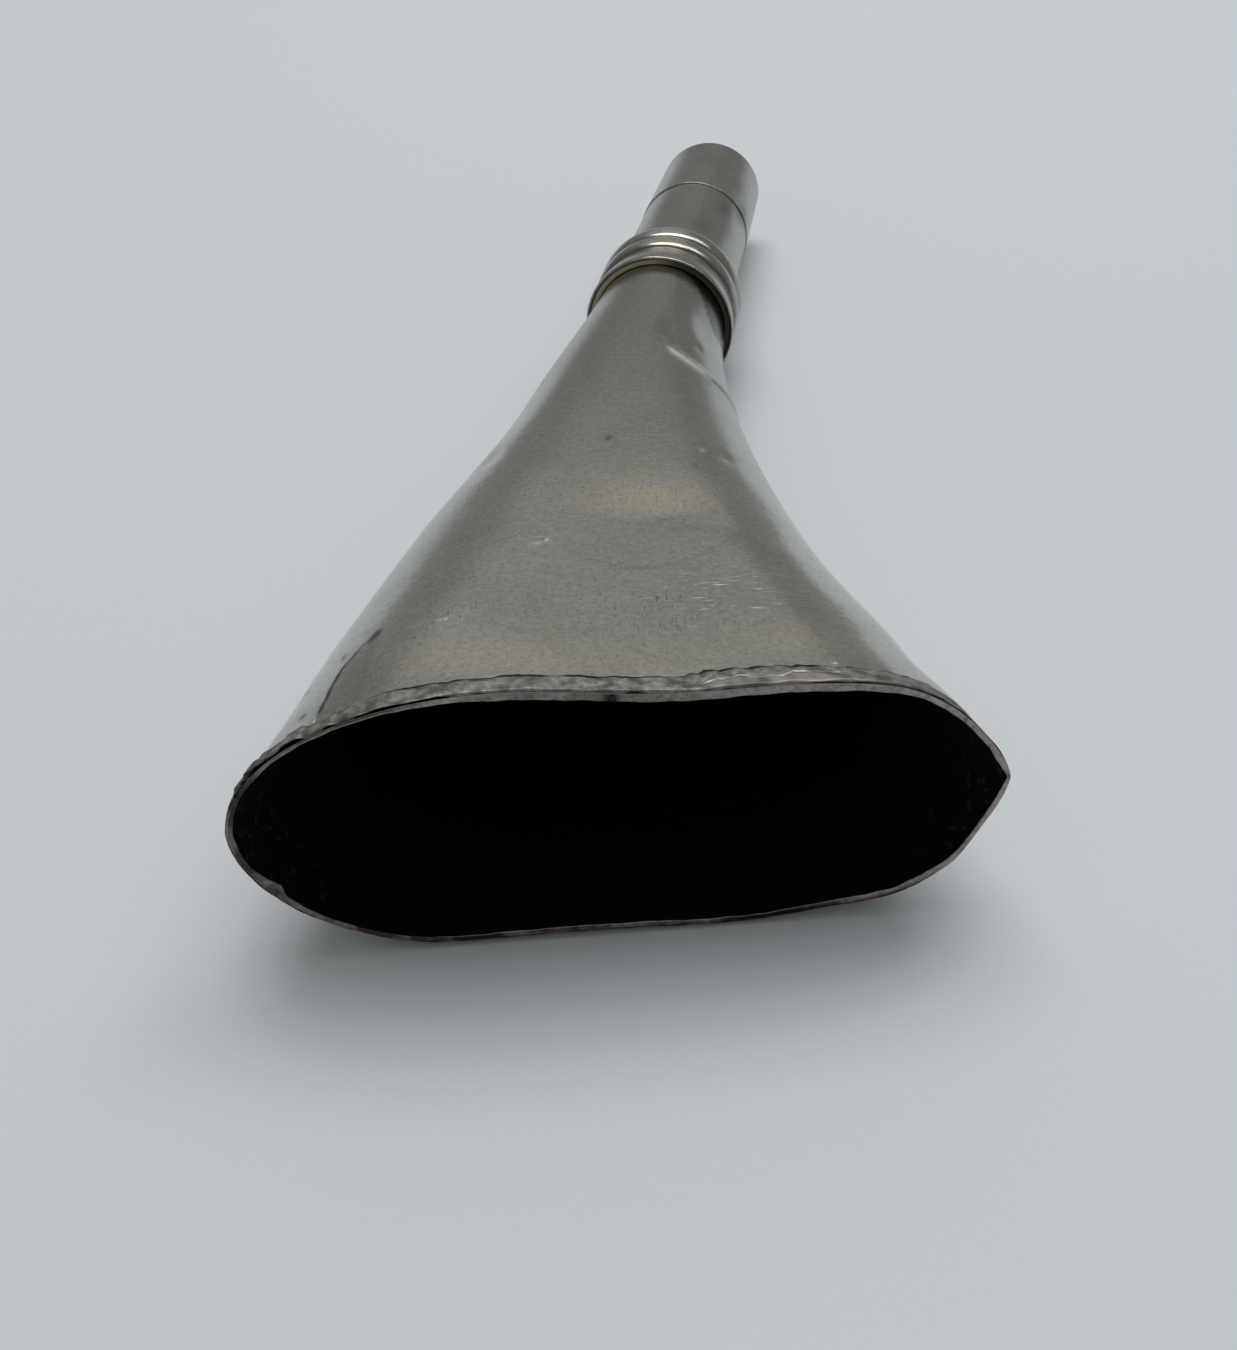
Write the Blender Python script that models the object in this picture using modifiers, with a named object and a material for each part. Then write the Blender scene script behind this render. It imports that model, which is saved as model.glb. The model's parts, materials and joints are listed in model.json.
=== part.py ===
"""Hunting horn: a flattened, curved bell of sheet metal with a pull-off mouthpiece and a beating reed.

The horn is drawn in its own frame: the mouth of the bell lies in the plane Y = 0, the bell runs
along +Y and bends towards +X, and Z is square to its flattened side. An empty then lays it down
as it rests on a table, on the rim of the bell and a bead of the ferrule.
The mouthpiece and the reed are turned about a second empty, whose Z axis is the mouthpiece's
axis and whose origin is the centre of the ferrule's lip. Below, a station is a distance along
that axis, or along the centre line of the bell.
"""

import math

import bmesh
import bpy
from mathutils import Vector

# Driving dimensions, in metres, with angles in degrees

# Bell
BELL_LENGTH = 0.0942
BELL_BEND = 14.5
MOUTH_HALF_WIDTH = 0.0322
MOUTH_HALF_HEIGHT = 0.0133
NECK_STEP = 0.0016
SHEET = 0.0005
WIDTH_FLARE = 1.43
HEIGHT_FLARE = 1.45
MOUTH_FLATNESS = 3.2
OUTER_EDGE_ROUNDNESS = 1.85
SEAM_EDGE_ROUNDNESS = 1.5
BAND_WIDTH = 0.002
BAND_THICKNESS = 0.00022
BAND_SETBACK = 0.00015
NECK_RUN = 0.0022

# Neck tenon
SEAT_DEPTH = 0.007
SHOULDER = 0.0008
TENON_LENGTH = 0.0139
TENON_WALL = 0.0005
TENON_CHAMFER = 0.0002
THROAT_LENGTH = 0.005

# Mouthpiece barrel and tip sleeve
BARREL_BORE = 0.0065
BARREL_LENGTH = 0.0272
BARREL_ROOT_WALL = 0.0011
BARREL_END_WALL = 0.00072
SPIGOT_LENGTH = 0.0075
SPIGOT_WALL = 0.0004
TIP_LENGTH = 0.018
TIP_WALL = 0.00036
TIP_TAPER = 0.00036
TIP_ROUND = 0.0012
TIP_EDGE = 0.0001
TIP_BORE_STEP = 0.0002
TIP_END_WALL = 0.0016
TIP_RIM = 0.001

# Ferrule
LIP_CLEARANCE = 0.00075
CAVITY_CLEARANCE = 0.00025
LIP_WALL = 0.00035
FERRULE_WALL = 0.00075
COVE_LENGTH = 0.0045
BEAD_HEIGHT = 0.00045
BEAD_HALF_WIDTH = 0.00135
BEAD_GROOVE = 0.0004
FERRULE_TAIL = 0.003
FERRULE_EDGE = 0.00015

# Reed
BLOCK_DEPTH = 0.007
BLOCK_FLANGE = 0.0013
SHALLOT_RADIUS = 0.0032
SHALLOT_WALL = 0.0007
SHALLOT_LENGTH = 0.026
SHALLOT_TIP = 0.0012
SHALLOT_CHAMFER = 0.0005
SHALLOT_FLAT = 0.0009
WEDGE_REACH = 0.0016
WEDGE_INSET = 0.0005
TONGUE_THICKNESS = 0.00025
TONGUE_ROOT = 0.0012
TONGUE_SETBACK = 0.00035
TONGUE_TIP_GAP = 0.0008
TONGUE_CORNER = 0.0008
TONGUE_LIFT = 3.4

# Clearances: soldered seats, sliding fits, stops and the room that the tongue swings in
SOLDER_GAP = 0.0001
SLIDE_GAP = 0.00008
STOP_GAP = 0.0003
TONGUE_GAP = 0.00015

# Facets
BELL_SIDES = 56
BELL_STATIONS = 18
TURNED_STEPS = 40
REED_STEPS = 32
THROAT_FACETS = 4
TIP_FACETS = 5
LIP_FACETS = 3
COVE_FACETS = 6
BEAD_FACETS = 7
TAIL_FACETS = 4
CORNER_FACETS = 4
MERGE_DISTANCE = 0.000001
SMOOTH_ANGLE = 40.0

# Sizes that follow from the fits
BEND = math.radians(BELL_BEND)
BEND_RADIUS = BELL_LENGTH / BEND
NECK_RADIUS = BARREL_BORE + NECK_STEP
SEAT_RADIUS = NECK_RADIUS - SHEET - SOLDER_GAP
SHOULDER_RADIUS = NECK_RADIUS - SHEET / 2
TENON_RADIUS = BARREL_BORE - SLIDE_GAP
TENON_BORE = TENON_RADIUS - TENON_WALL
BARREL_ROOT_RADIUS = BARREL_BORE + BARREL_ROOT_WALL
BARREL_END_RADIUS = BARREL_BORE + BARREL_END_WALL
SPIGOT_RADIUS = BARREL_BORE + SPIGOT_WALL
TIP_SEAT_RADIUS = SPIGOT_RADIUS + SOLDER_GAP
TIP_RADIUS = TIP_SEAT_RADIUS + TIP_WALL
TIP_END_RADIUS = TIP_RADIUS - TIP_TAPER
TIP_BORE = BARREL_BORE - TIP_BORE_STEP
BLOW_HOLE_RADIUS = TIP_END_RADIUS - TIP_ROUND - TIP_RIM
FERRULE_BORE = BARREL_ROOT_RADIUS + SOLDER_GAP
CAVITY_RADIUS = NECK_RADIUS + CAVITY_CLEARANCE
WAIST_RADIUS = max(FERRULE_BORE + FERRULE_WALL, CAVITY_RADIUS + LIP_WALL)
LIP_INNER_RADIUS = NECK_RADIUS + LIP_CLEARANCE
LIP_RADIUS = LIP_INNER_RADIUS + LIP_WALL
LIP_ROUND = LIP_WALL / 2
BLOCK_RADIUS = TENON_BORE - SLIDE_GAP
BLOCK_FLANGE_RADIUS = TENON_RADIUS - SLIDE_GAP
BLOCK_BORE = SHALLOT_RADIUS + SOLDER_GAP
CHANNEL_RADIUS = SHALLOT_RADIUS - SHALLOT_WALL
SHALLOT_HALF_FLAT = math.sqrt(SHALLOT_RADIUS ** 2 - SHALLOT_FLAT ** 2)
TONGUE_HALF_WIDTH = SHALLOT_HALF_FLAT - TONGUE_SETBACK
TONGUE_HEIGHT = SHALLOT_FLAT + TONGUE_GAP + TONGUE_THICKNESS / 2
WEDGE_HEIGHT = TONGUE_HEIGHT + TONGUE_THICKNESS / 2 + TONGUE_GAP

# Stations along the mouthpiece's axis, from the lip of the ferrule
SHOULDER_START = NECK_RUN + SOLDER_GAP
SHOULDER_END = SHOULDER_START + SHOULDER
TENON_END = SHOULDER_END + TENON_LENGTH
BARREL_START = SHOULDER_END + STOP_GAP
BARREL_STEP = BARREL_START + BARREL_LENGTH
SPIGOT_END = BARREL_STEP + SPIGOT_LENGTH
TIP_START = BARREL_STEP + SOLDER_GAP
TIP_END = TIP_START + TIP_LENGTH
COVE_END = LIP_ROUND + COVE_LENGTH
FIRST_BEAD = COVE_END + BEAD_HALF_WIDTH
SECOND_BEAD = FIRST_BEAD + 2 * BEAD_HALF_WIDTH + BEAD_GROOVE
BEADS_END = SECOND_BEAD + BEAD_HALF_WIDTH
FERRULE_END = BEADS_END + FERRULE_TAIL
FLANGE_START = TENON_END + SOLDER_GAP
FLANGE_END = FLANGE_START + BLOCK_FLANGE
BLOCK_START = FLANGE_START - BLOCK_DEPTH
WEDGE_END = FLANGE_END + WEDGE_REACH
SHALLOT_END = BLOCK_START + SHALLOT_LENGTH
TONGUE_FREE = SHALLOT_END - TONGUE_TIP_GAP - WEDGE_END


# Scene helpers

def clear_scene():
    for thing in list(bpy.data.objects):
        bpy.data.objects.remove(thing, do_unlink=True)


def new_collection(name):
    collection = bpy.data.collections.new(name)
    bpy.context.scene.collection.children.link(collection)
    return collection


def new_empty(name, parent, location, rotation):
    empty = bpy.data.objects.new(name, None)
    PARTS.objects.link(empty)
    empty.empty_display_size = NECK_RADIUS
    empty.parent = parent
    empty.location = location
    empty.rotation_euler = rotation
    return empty


def new_material(name, colour, roughness, metallic):
    material = bpy.data.materials.new(name)
    material.use_nodes = True
    shader = material.node_tree.nodes["Principled BSDF"]
    shader.inputs["Base Color"].default_value = (*colour, 1.0)
    shader.inputs["Roughness"].default_value = roughness
    shader.inputs["Metallic"].default_value = metallic
    return material


def add_part(name, data, material, parent):
    part = bpy.data.objects.new(name, data)
    PARTS.objects.link(part)
    part.parent = parent
    data.materials.append(material)
    return part


def add_cutter(name, low, high, parent):
    """A box between two corners, which only cuts other pieces."""
    low = Vector(low)
    high = Vector(high)
    body = bmesh.new()
    bmesh.ops.create_cube(body, size=1.0)
    bmesh.ops.scale(body, vec=high - low, verts=body.verts)
    bmesh.ops.translate(body, vec=(low + high) / 2, verts=body.verts)
    mesh = bpy.data.meshes.new(name)
    body.to_mesh(mesh)
    body.free()
    cutter = bpy.data.objects.new(name, mesh)
    CUTTERS.objects.link(cutter)
    cutter.parent = parent
    cutter.display_type = "WIRE"
    cutter.hide_render = True
    return cutter


def cut(part, cutter):
    boolean = part.modifiers.new("cut", "BOOLEAN")
    boolean.operation = "DIFFERENCE"
    boolean.object = cutter


def smooth(mesh):
    mesh.shade_smooth()
    mesh.set_sharp_from_angle(angle=math.radians(SMOOTH_ANGLE))


# The bell's form

def centre_line(station):
    """Point and heading of the bell's centre line: an arc, then straight on past the lip."""
    heading = BEND * min(station, BELL_LENGTH) / BELL_LENGTH
    past = max(station - BELL_LENGTH, 0.0)
    x = BEND_RADIUS * (1 - math.cos(heading)) + past * math.sin(heading)
    y = BEND_RADIUS * math.sin(heading) + past * math.cos(heading)
    return Vector((x, y, 0.0)), heading


def bell_ring(station, offset):
    """One cross-section of the bell, moved out from the sheet's outer face by an offset.

    The section is a flattened oval at the mouth, tighter on the seam side, and a circle at the neck.
    """
    centre, heading = centre_line(station)
    across = Vector((math.cos(heading), -math.sin(heading), 0.0))
    openness = max(1 - station / BELL_LENGTH, 0.0)
    half_width = NECK_RADIUS + (MOUTH_HALF_WIDTH - NECK_RADIUS) * openness ** WIDTH_FLARE + offset
    half_height = NECK_RADIUS + (MOUTH_HALF_HEIGHT - NECK_RADIUS) * openness ** HEIGHT_FLARE + offset
    ring = []
    for index in range(BELL_SIDES):
        angle = 2 * math.pi * index / BELL_SIDES
        cosine = math.cos(angle)
        sine = math.sin(angle)
        edge = SEAM_EDGE_ROUNDNESS if cosine > 0 else OUTER_EDGE_ROUNDNESS
        width_power = 2 / (2 + (MOUTH_FLATNESS - 2) * openness)
        height_power = 2 / (2 + (edge - 2) * openness)
        x = math.copysign(half_width * abs(cosine) ** width_power, cosine)
        z = math.copysign(half_height * abs(sine) ** height_power, sine)
        ring.append(centre + across * x + Vector((0.0, 0.0, z)))
    return ring


def loft_closed(name, rings):
    """A tube through a closed chain of rings: out along one wall and back along the other."""
    body = bmesh.new()
    loops = []
    for ring in rings:
        loops.append([body.verts.new(point) for point in ring])
    for here, beyond in zip(loops, loops[1:] + loops[:1]):
        for index in range(len(here)):
            after = (index + 1) % len(here)
            body.faces.new((here[index], here[after], beyond[after], beyond[index]))
    bmesh.ops.recalc_face_normals(body, faces=body.faces)
    mesh = bpy.data.meshes.new(name)
    body.to_mesh(mesh)
    body.free()
    smooth(mesh)
    return mesh


def make_bell_body():
    band_end = BAND_SETBACK + BAND_WIDTH
    step = (BELL_LENGTH - band_end) / BELL_STATIONS
    stations = [0.0]
    stations += [band_end + step * index for index in range(BELL_STATIONS + 1)]
    stations.append(BELL_LENGTH + NECK_RUN)
    outer = [bell_ring(station, 0.0) for station in stations]
    inner = [bell_ring(station, -SHEET) for station in reversed(stations)]
    mesh = loft_closed("bell_body", outer + inner)
    return add_part("bell_body", mesh, NICKEL_SILVER, REST_FRAME)


def make_rim_band():
    stations = [BAND_SETBACK, BAND_SETBACK + BAND_WIDTH]
    outer = [bell_ring(station, SOLDER_GAP + BAND_THICKNESS) for station in stations]
    inner = [bell_ring(station, SOLDER_GAP) for station in reversed(stations)]
    mesh = loft_closed("rim_band", outer + inner)
    return add_part("rim_band", mesh, SOFT_SOLDER, REST_FRAME)


# Turned pieces: profiles are lists of (radius, station) that run from the lip towards the tip

def arc(radius, station, size, start, end, steps):
    """Points on a round of a given size about a centre, between two angles in degrees."""
    points = []
    for index in range(steps + 1):
        angle = math.radians(start + (end - start) * index / steps)
        points.append((radius + size * math.cos(angle), station + size * math.sin(angle)))
    return points


def sweep(start, end, steps):
    """Points of a smooth S-shaped run between two points of a profile."""
    points = []
    for index in range(steps + 1):
        share = index / steps
        blend = (1 - math.cos(math.pi * share)) / 2
        points.append((start[0] + (end[0] - start[0]) * blend, start[1] + (end[1] - start[1]) * share))
    return points


def bead(station, steps):
    """Points of one half-oval bead on the ferrule's waist."""
    points = []
    for index in range(steps + 1):
        angle = math.pi * index / steps
        radius = WAIST_RADIUS + BEAD_HEIGHT * math.sin(angle)
        points.append((radius, station - BEAD_HALF_WIDTH * math.cos(angle)))
    return points


def turned_part(name, outer, inner, material, steps):
    """A solid of revolution about the mouthpiece's axis.

    Both profiles run from the lip towards the tip. The outline goes down the outer one and
    up the inner one, and it closes on itself unless both its ends meet the axis.
    """
    outline = list(reversed(outer)) + list(inner)
    on_axis = outline[0][0] == 0.0 and outline[-1][0] == 0.0
    edges = [(index, index + 1) for index in range(len(outline) - 1)]
    if not on_axis:
        edges.append((len(outline) - 1, 0))
    mesh = bpy.data.meshes.new(name)
    mesh.from_pydata([(radius, 0.0, station) for radius, station in outline], edges, [])
    part = add_part(name, mesh, material, MOUTHPIECE_AXIS)
    screw = part.modifiers.new("turn", "SCREW")
    screw.axis = "Z"
    screw.angle = 2 * math.pi
    screw.steps = steps
    screw.render_steps = steps
    screw.use_merge_vertices = True
    screw.merge_threshold = MERGE_DISTANCE
    screw.use_smooth_shade = True
    return part


def make_neck_tenon():
    start = NECK_RUN - SEAT_DEPTH
    outer = [
        (SEAT_RADIUS, start),
        (SEAT_RADIUS, SHOULDER_START),
        (SHOULDER_RADIUS, SHOULDER_START),
        (SHOULDER_RADIUS, SHOULDER_END),
        (TENON_RADIUS, SHOULDER_END),
        (TENON_RADIUS, TENON_END - TENON_CHAMFER),
        (TENON_RADIUS - TENON_CHAMFER, TENON_END),
    ]
    throat = sweep((SEAT_RADIUS - TENON_WALL, start), (TENON_BORE, start + THROAT_LENGTH), THROAT_FACETS)
    return turned_part("neck_tenon", outer, throat + [(TENON_BORE, TENON_END)], BRASS, TURNED_STEPS)


def make_barrel():
    outer = [
        (BARREL_ROOT_RADIUS, BARREL_START),
        (BARREL_ROOT_RADIUS, FERRULE_END),
        (BARREL_END_RADIUS, BARREL_STEP),
        (SPIGOT_RADIUS, BARREL_STEP),
        (SPIGOT_RADIUS, SPIGOT_END),
    ]
    inner = [(BARREL_BORE, BARREL_START), (BARREL_BORE, SPIGOT_END)]
    return turned_part("barrel", outer, inner, NICKEL_SILVER, TURNED_STEPS)


def make_tip_sleeve():
    outer = [(TIP_RADIUS - TIP_EDGE, TIP_START), (TIP_RADIUS, TIP_START + TIP_EDGE)]
    outer += arc(TIP_END_RADIUS - TIP_ROUND, TIP_END - TIP_ROUND, TIP_ROUND, 0.0, 90.0, TIP_FACETS)
    inner = [
        (TIP_SEAT_RADIUS, TIP_START),
        (TIP_SEAT_RADIUS, SPIGOT_END + SOLDER_GAP),
        (TIP_BORE, SPIGOT_END + SOLDER_GAP),
        (TIP_BORE, TIP_END - TIP_END_WALL),
        (BLOW_HOLE_RADIUS, TIP_END - TIP_END_WALL),
        (BLOW_HOLE_RADIUS, TIP_END),
    ]
    return turned_part("tip_sleeve", outer, inner, NICKEL_SILVER, TURNED_STEPS)


def make_ferrule():
    outer = arc(LIP_RADIUS - LIP_ROUND, LIP_ROUND, LIP_ROUND, 270.0, 360.0, LIP_FACETS)
    outer += sweep((LIP_RADIUS, LIP_ROUND), (WAIST_RADIUS, COVE_END), COVE_FACETS)[1:-1]
    outer += bead(FIRST_BEAD, BEAD_FACETS)
    outer += bead(SECOND_BEAD, BEAD_FACETS)
    tail_end = (FERRULE_BORE + FERRULE_EDGE, FERRULE_END)
    outer += sweep((WAIST_RADIUS, BEADS_END), tail_end, TAIL_FACETS)[1:]
    inner = arc(LIP_RADIUS - LIP_ROUND, LIP_ROUND, LIP_ROUND, 270.0, 180.0, LIP_FACETS)[1:]
    inner += [
        (CAVITY_RADIUS, BARREL_START),
        (FERRULE_BORE, BARREL_START),
        (FERRULE_BORE, FERRULE_END),
    ]
    return turned_part("ferrule", outer, inner, NICKEL_SILVER, TURNED_STEPS)


def make_reed_block():
    outer = [
        (BLOCK_RADIUS, BLOCK_START),
        (BLOCK_RADIUS, FLANGE_START),
        (BLOCK_FLANGE_RADIUS, FLANGE_START),
        (BLOCK_FLANGE_RADIUS, FLANGE_END),
    ]
    inner = [(BLOCK_BORE, BLOCK_START), (BLOCK_BORE, FLANGE_END)]
    return turned_part("reed_block", outer, inner, BRASS, REED_STEPS)


# Reed: the mouthpiece's axis has X to the right and Y down, so the flat faces -Y

def make_shallot():
    outer = [
        (SHALLOT_RADIUS, BLOCK_START),
        (SHALLOT_RADIUS, SHALLOT_END - SHALLOT_CHAMFER),
        (SHALLOT_RADIUS - SHALLOT_CHAMFER, SHALLOT_END),
        (0.0, SHALLOT_END),
    ]
    inner = [
        (CHANNEL_RADIUS, BLOCK_START),
        (CHANNEL_RADIUS, SHALLOT_END - SHALLOT_TIP),
        (0.0, SHALLOT_END - SHALLOT_TIP),
    ]
    part = turned_part("shallot", outer, inner, BRASS, REED_STEPS)
    low = (-2 * SHALLOT_RADIUS, -2 * SHALLOT_RADIUS, BLOCK_START - SHALLOT_RADIUS)
    high = (2 * SHALLOT_RADIUS, -SHALLOT_FLAT, SHALLOT_END + SHALLOT_RADIUS)
    cut(part, add_cutter("shallot_flat_cutter", low, high, MOUTHPIECE_AXIS))
    return part


def make_reed_wedge():
    start = BLOCK_START + WEDGE_INSET
    outer = [(0.0, start), (SHALLOT_RADIUS, start), (SHALLOT_RADIUS, WEDGE_END), (0.0, WEDGE_END)]
    part = turned_part("reed_wedge", outer, [], BOXWOOD, REED_STEPS)
    low = (-2 * SHALLOT_RADIUS, -WEDGE_HEIGHT, start - SHALLOT_RADIUS)
    high = (2 * SHALLOT_RADIUS, 2 * SHALLOT_RADIUS, WEDGE_END + SHALLOT_RADIUS)
    cut(part, add_cutter("wedge_flat_cutter", low, high, MOUTHPIECE_AXIS))
    return part


def make_reed_tongue():
    """A strip with round corners at its tip, which leans up from its hinge at the end of the wedge."""
    corner_x = TONGUE_HALF_WIDTH - TONGUE_CORNER
    corner_y = TONGUE_FREE - TONGUE_CORNER
    corner = arc(corner_x, corner_y, TONGUE_CORNER, 0.0, 90.0, CORNER_FACETS)
    half = [(TONGUE_HALF_WIDTH, -TONGUE_ROOT)] + corner
    outline = half + [(-x, y) for x, y in reversed(half)]
    curve = bpy.data.curves.new("reed_tongue", "CURVE")
    curve.dimensions = "2D"
    curve.fill_mode = "BOTH"
    curve.extrude = TONGUE_THICKNESS / 2
    spline = curve.splines.new("POLY")
    spline.points.add(len(outline) - 1)
    for point, (x, y) in zip(spline.points, outline):
        point.co = (x, y, 0.0, 1.0)
    spline.use_cyclic_u = True
    return add_part("reed_tongue", curve, SPRING_BRASS, TONGUE_HINGE)


# Laying the horn down

def rest_tilt():
    """Slope of the horn on a table: it stands on the rim of the bell and on the first ring of the
    mouthpiece that comes down to the table as its far end sinks."""
    mouth_drop = MOUTH_HALF_HEIGHT + SOLDER_GAP + BAND_THICKNESS
    rings = [
        (LIP_ROUND, LIP_RADIUS),
        (SECOND_BEAD, WAIST_RADIUS + BEAD_HEIGHT),
        (TIP_END - TIP_ROUND, TIP_END_RADIUS),
    ]
    slopes = []
    for station, radius in rings:
        reach = centre_line(BELL_LENGTH + station)[0].y - BAND_SETBACK
        slopes.append(math.atan2(radius - mouth_drop, reach))
    return max(slopes)


def settle():
    """Move the rest frame so that the box round the horn stands on the origin's plane, centred on it."""
    bpy.context.view_layer.update()
    graph = bpy.context.evaluated_depsgraph_get()
    corners = []
    for part in PARTS.objects:
        if part.type == "EMPTY":
            continue
        solid = part.evaluated_get(graph)
        mesh = solid.to_mesh()
        corners += [solid.matrix_world @ vertex.co for vertex in mesh.vertices]
        solid.to_mesh_clear()
    low = [min(corner[axis] for corner in corners) for axis in range(3)]
    high = [max(corner[axis] for corner in corners) for axis in range(3)]
    REST_FRAME.location -= Vector(((low[0] + high[0]) / 2, (low[1] + high[1]) / 2, low[2]))
    bpy.context.view_layer.update()


clear_scene()
PARTS = new_collection("hunting_horn")
CUTTERS = new_collection("hunting_horn_cutters")

NICKEL_SILVER = new_material("nickel_silver", (0.42, 0.40, 0.36), 0.32, 1.0)
SOFT_SOLDER = new_material("soft_solder", (0.36, 0.36, 0.37), 0.5, 1.0)
BRASS = new_material("brass", (0.60, 0.45, 0.20), 0.35, 1.0)
SPRING_BRASS = new_material("spring_brass", (0.66, 0.52, 0.26), 0.3, 1.0)
BOXWOOD = new_material("boxwood", (0.55, 0.38, 0.18), 0.6, 0.0)

REST_FRAME = new_empty("rest_frame", None, (0.0, 0.0, 0.0), (rest_tilt(), 0.0, 0.0))
LIP_CENTRE = centre_line(BELL_LENGTH)[0]
MOUTHPIECE_AXIS = new_empty("mouthpiece_axis", REST_FRAME, LIP_CENTRE, (-math.pi / 2, 0.0, -BEND))
TONGUE_HINGE = new_empty(
    "tongue_hinge",
    MOUTHPIECE_AXIS,
    (0.0, -TONGUE_HEIGHT, WEDGE_END),
    (math.pi / 2 + math.radians(TONGUE_LIFT), 0.0, 0.0),
)

make_bell_body()
make_rim_band()
make_neck_tenon()
make_barrel()
make_tip_sleeve()
make_ferrule()
make_reed_block()
make_shallot()
make_reed_wedge()
make_reed_tongue()
settle()
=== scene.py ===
# %% [markdown]
# # A hunting horn in worn nickel silver
# The real horn is a small reed horn: a flattened bell of sheet metal, bent in one plane, soldered
# round its mouth, with a turned mouthpiece that pulls off over a beating reed.
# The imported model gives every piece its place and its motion. This lesson dresses it: the sheet gets
# its dents and its tarnish, the rim its rough solder, and the mouthpiece its fine turned rings.

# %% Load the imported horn
import json
import math

import bmesh
import bpy
import numpy as np
from mathutils import Matrix, Vector, noise


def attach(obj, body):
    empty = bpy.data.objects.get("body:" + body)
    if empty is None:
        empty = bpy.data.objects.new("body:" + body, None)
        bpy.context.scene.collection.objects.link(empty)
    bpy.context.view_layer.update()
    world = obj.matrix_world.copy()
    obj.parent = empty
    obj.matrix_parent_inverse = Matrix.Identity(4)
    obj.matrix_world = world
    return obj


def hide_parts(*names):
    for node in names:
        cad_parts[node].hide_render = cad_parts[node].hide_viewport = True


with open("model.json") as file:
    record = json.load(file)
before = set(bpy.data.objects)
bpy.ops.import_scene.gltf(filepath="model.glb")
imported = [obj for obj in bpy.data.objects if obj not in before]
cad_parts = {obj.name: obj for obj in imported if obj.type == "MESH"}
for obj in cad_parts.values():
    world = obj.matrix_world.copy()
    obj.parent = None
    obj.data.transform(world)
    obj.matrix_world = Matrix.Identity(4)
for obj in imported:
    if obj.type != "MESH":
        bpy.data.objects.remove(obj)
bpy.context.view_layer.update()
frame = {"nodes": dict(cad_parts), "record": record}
MM = 0.001

# %% [markdown]
# ## The horn's own frame
# The horn lies tilted on the table, on its rim and one bead. It is easier to shape in its own frame,
# with the mouth in the plane Y = 0, the bell along +Y and the flattened side square to Z.
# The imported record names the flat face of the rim, and that face gives the frame back.

# %% Find the mouth and its tilt
MOUTH_HALF_WIDTH = 32.2 * MM
MOUTH_HALF_HEIGHT = 13.3 * MM
SHEET = 0.5 * MM
mounts = {mount["name"]: mount for mount in frame["record"]["mounts"]}
rim_out = Vector(mounts["bell_rim"]["axis"])
rest_turn = Matrix.Rotation(math.atan2(-rim_out.z, -rim_out.y), 4, "X")
rim_bottom = Vector((0.0, 0.0, SHEET / 2 - MOUTH_HALF_HEIGHT))
mouth_centre = Vector(mounts["bell_rim"]["pos_m"]) - rest_turn @ rim_bottom
HORN = Matrix.Translation(mouth_centre) @ rest_turn
print("mouth centre, mm:", [round(value / MM, 2) for value in mouth_centre])

# %% [markdown]
# ## Colours and nodes
# Colours are written as sRGB hex values, as a colour picker shows them, and one function turns them to
# the linear values that the shader wants. One more function adds a node, sets it and links it.
# Patterns use object coordinates in metres, so a pattern's scale is one over its real size.

# %% Helpers for materials
def linear(hex_colour):
    """An sRGB hex colour as the linear values that a shader wants."""
    channels = [int(hex_colour[start:start + 2], 16) / 255 for start in (1, 3, 5)]
    values = [c / 12.92 if c <= 0.04045 else ((c + 0.055) / 1.055) ** 2.4 for c in channels]
    return (*values, 1.0)


def set_node(tree, node, settings, links=()):
    """Settings go to a node's sockets or properties, and links join outputs to its sockets."""
    for name, value in settings.items():
        if isinstance(name, int) or name in node.inputs:
            node.inputs[name].default_value = value
        else:
            setattr(node, name, value)
    for socket, output in dict(links).items():
        tree.links.new(output, node.inputs[socket])
    return node


def add_node(tree, kind, settings, links=()):
    return set_node(tree, tree.nodes.new("ShaderNode" + kind), settings, links)


def start_material(name):
    """A new material, its nodes, its shader, and the place on the piece that its patterns follow."""
    material = bpy.data.materials.new(name)
    material.use_nodes = True
    tree = material.node_tree
    place = add_node(tree, "TexCoord", {}).outputs["Object"]
    return material, tree, tree.nodes["Principled BSDF"], place


print("helpers ready: linear, set_node, add_node, start_material")

# %% [markdown]
# ## Nickel silver, rolled and long worn
# Nickel silver is a pale copper, nickel and zinc alloy. Rolled, polished and then handled for years, it
# keeps a satin mirror: soft reflections, a grey tarnish in clouds, a fine speckle and hair scratches.
# The mesh carries painted attributes: warm for lighter, warmer places, dull for much handled metal, nicks
# for dark strokes, hairs for bright scratches, glint for painted highlights where scratches catch the
# lamps, and grime for dirt in cracks and pits and for painted shade in creases, gaps and under the rim.
# An image could carry the wear too, but attributes stay with the points of the mesh and need no
# unwrapping. One material then serves every piece of this metal.

# %% Clouds of tarnish, warmer places and speckle
CLOUD = 17 * MM
SPECKLE = 0.55 * MM
PINPRICK = 0.3 * MM           # real pinpricks are finer; these are as coarse as they need to show


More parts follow.
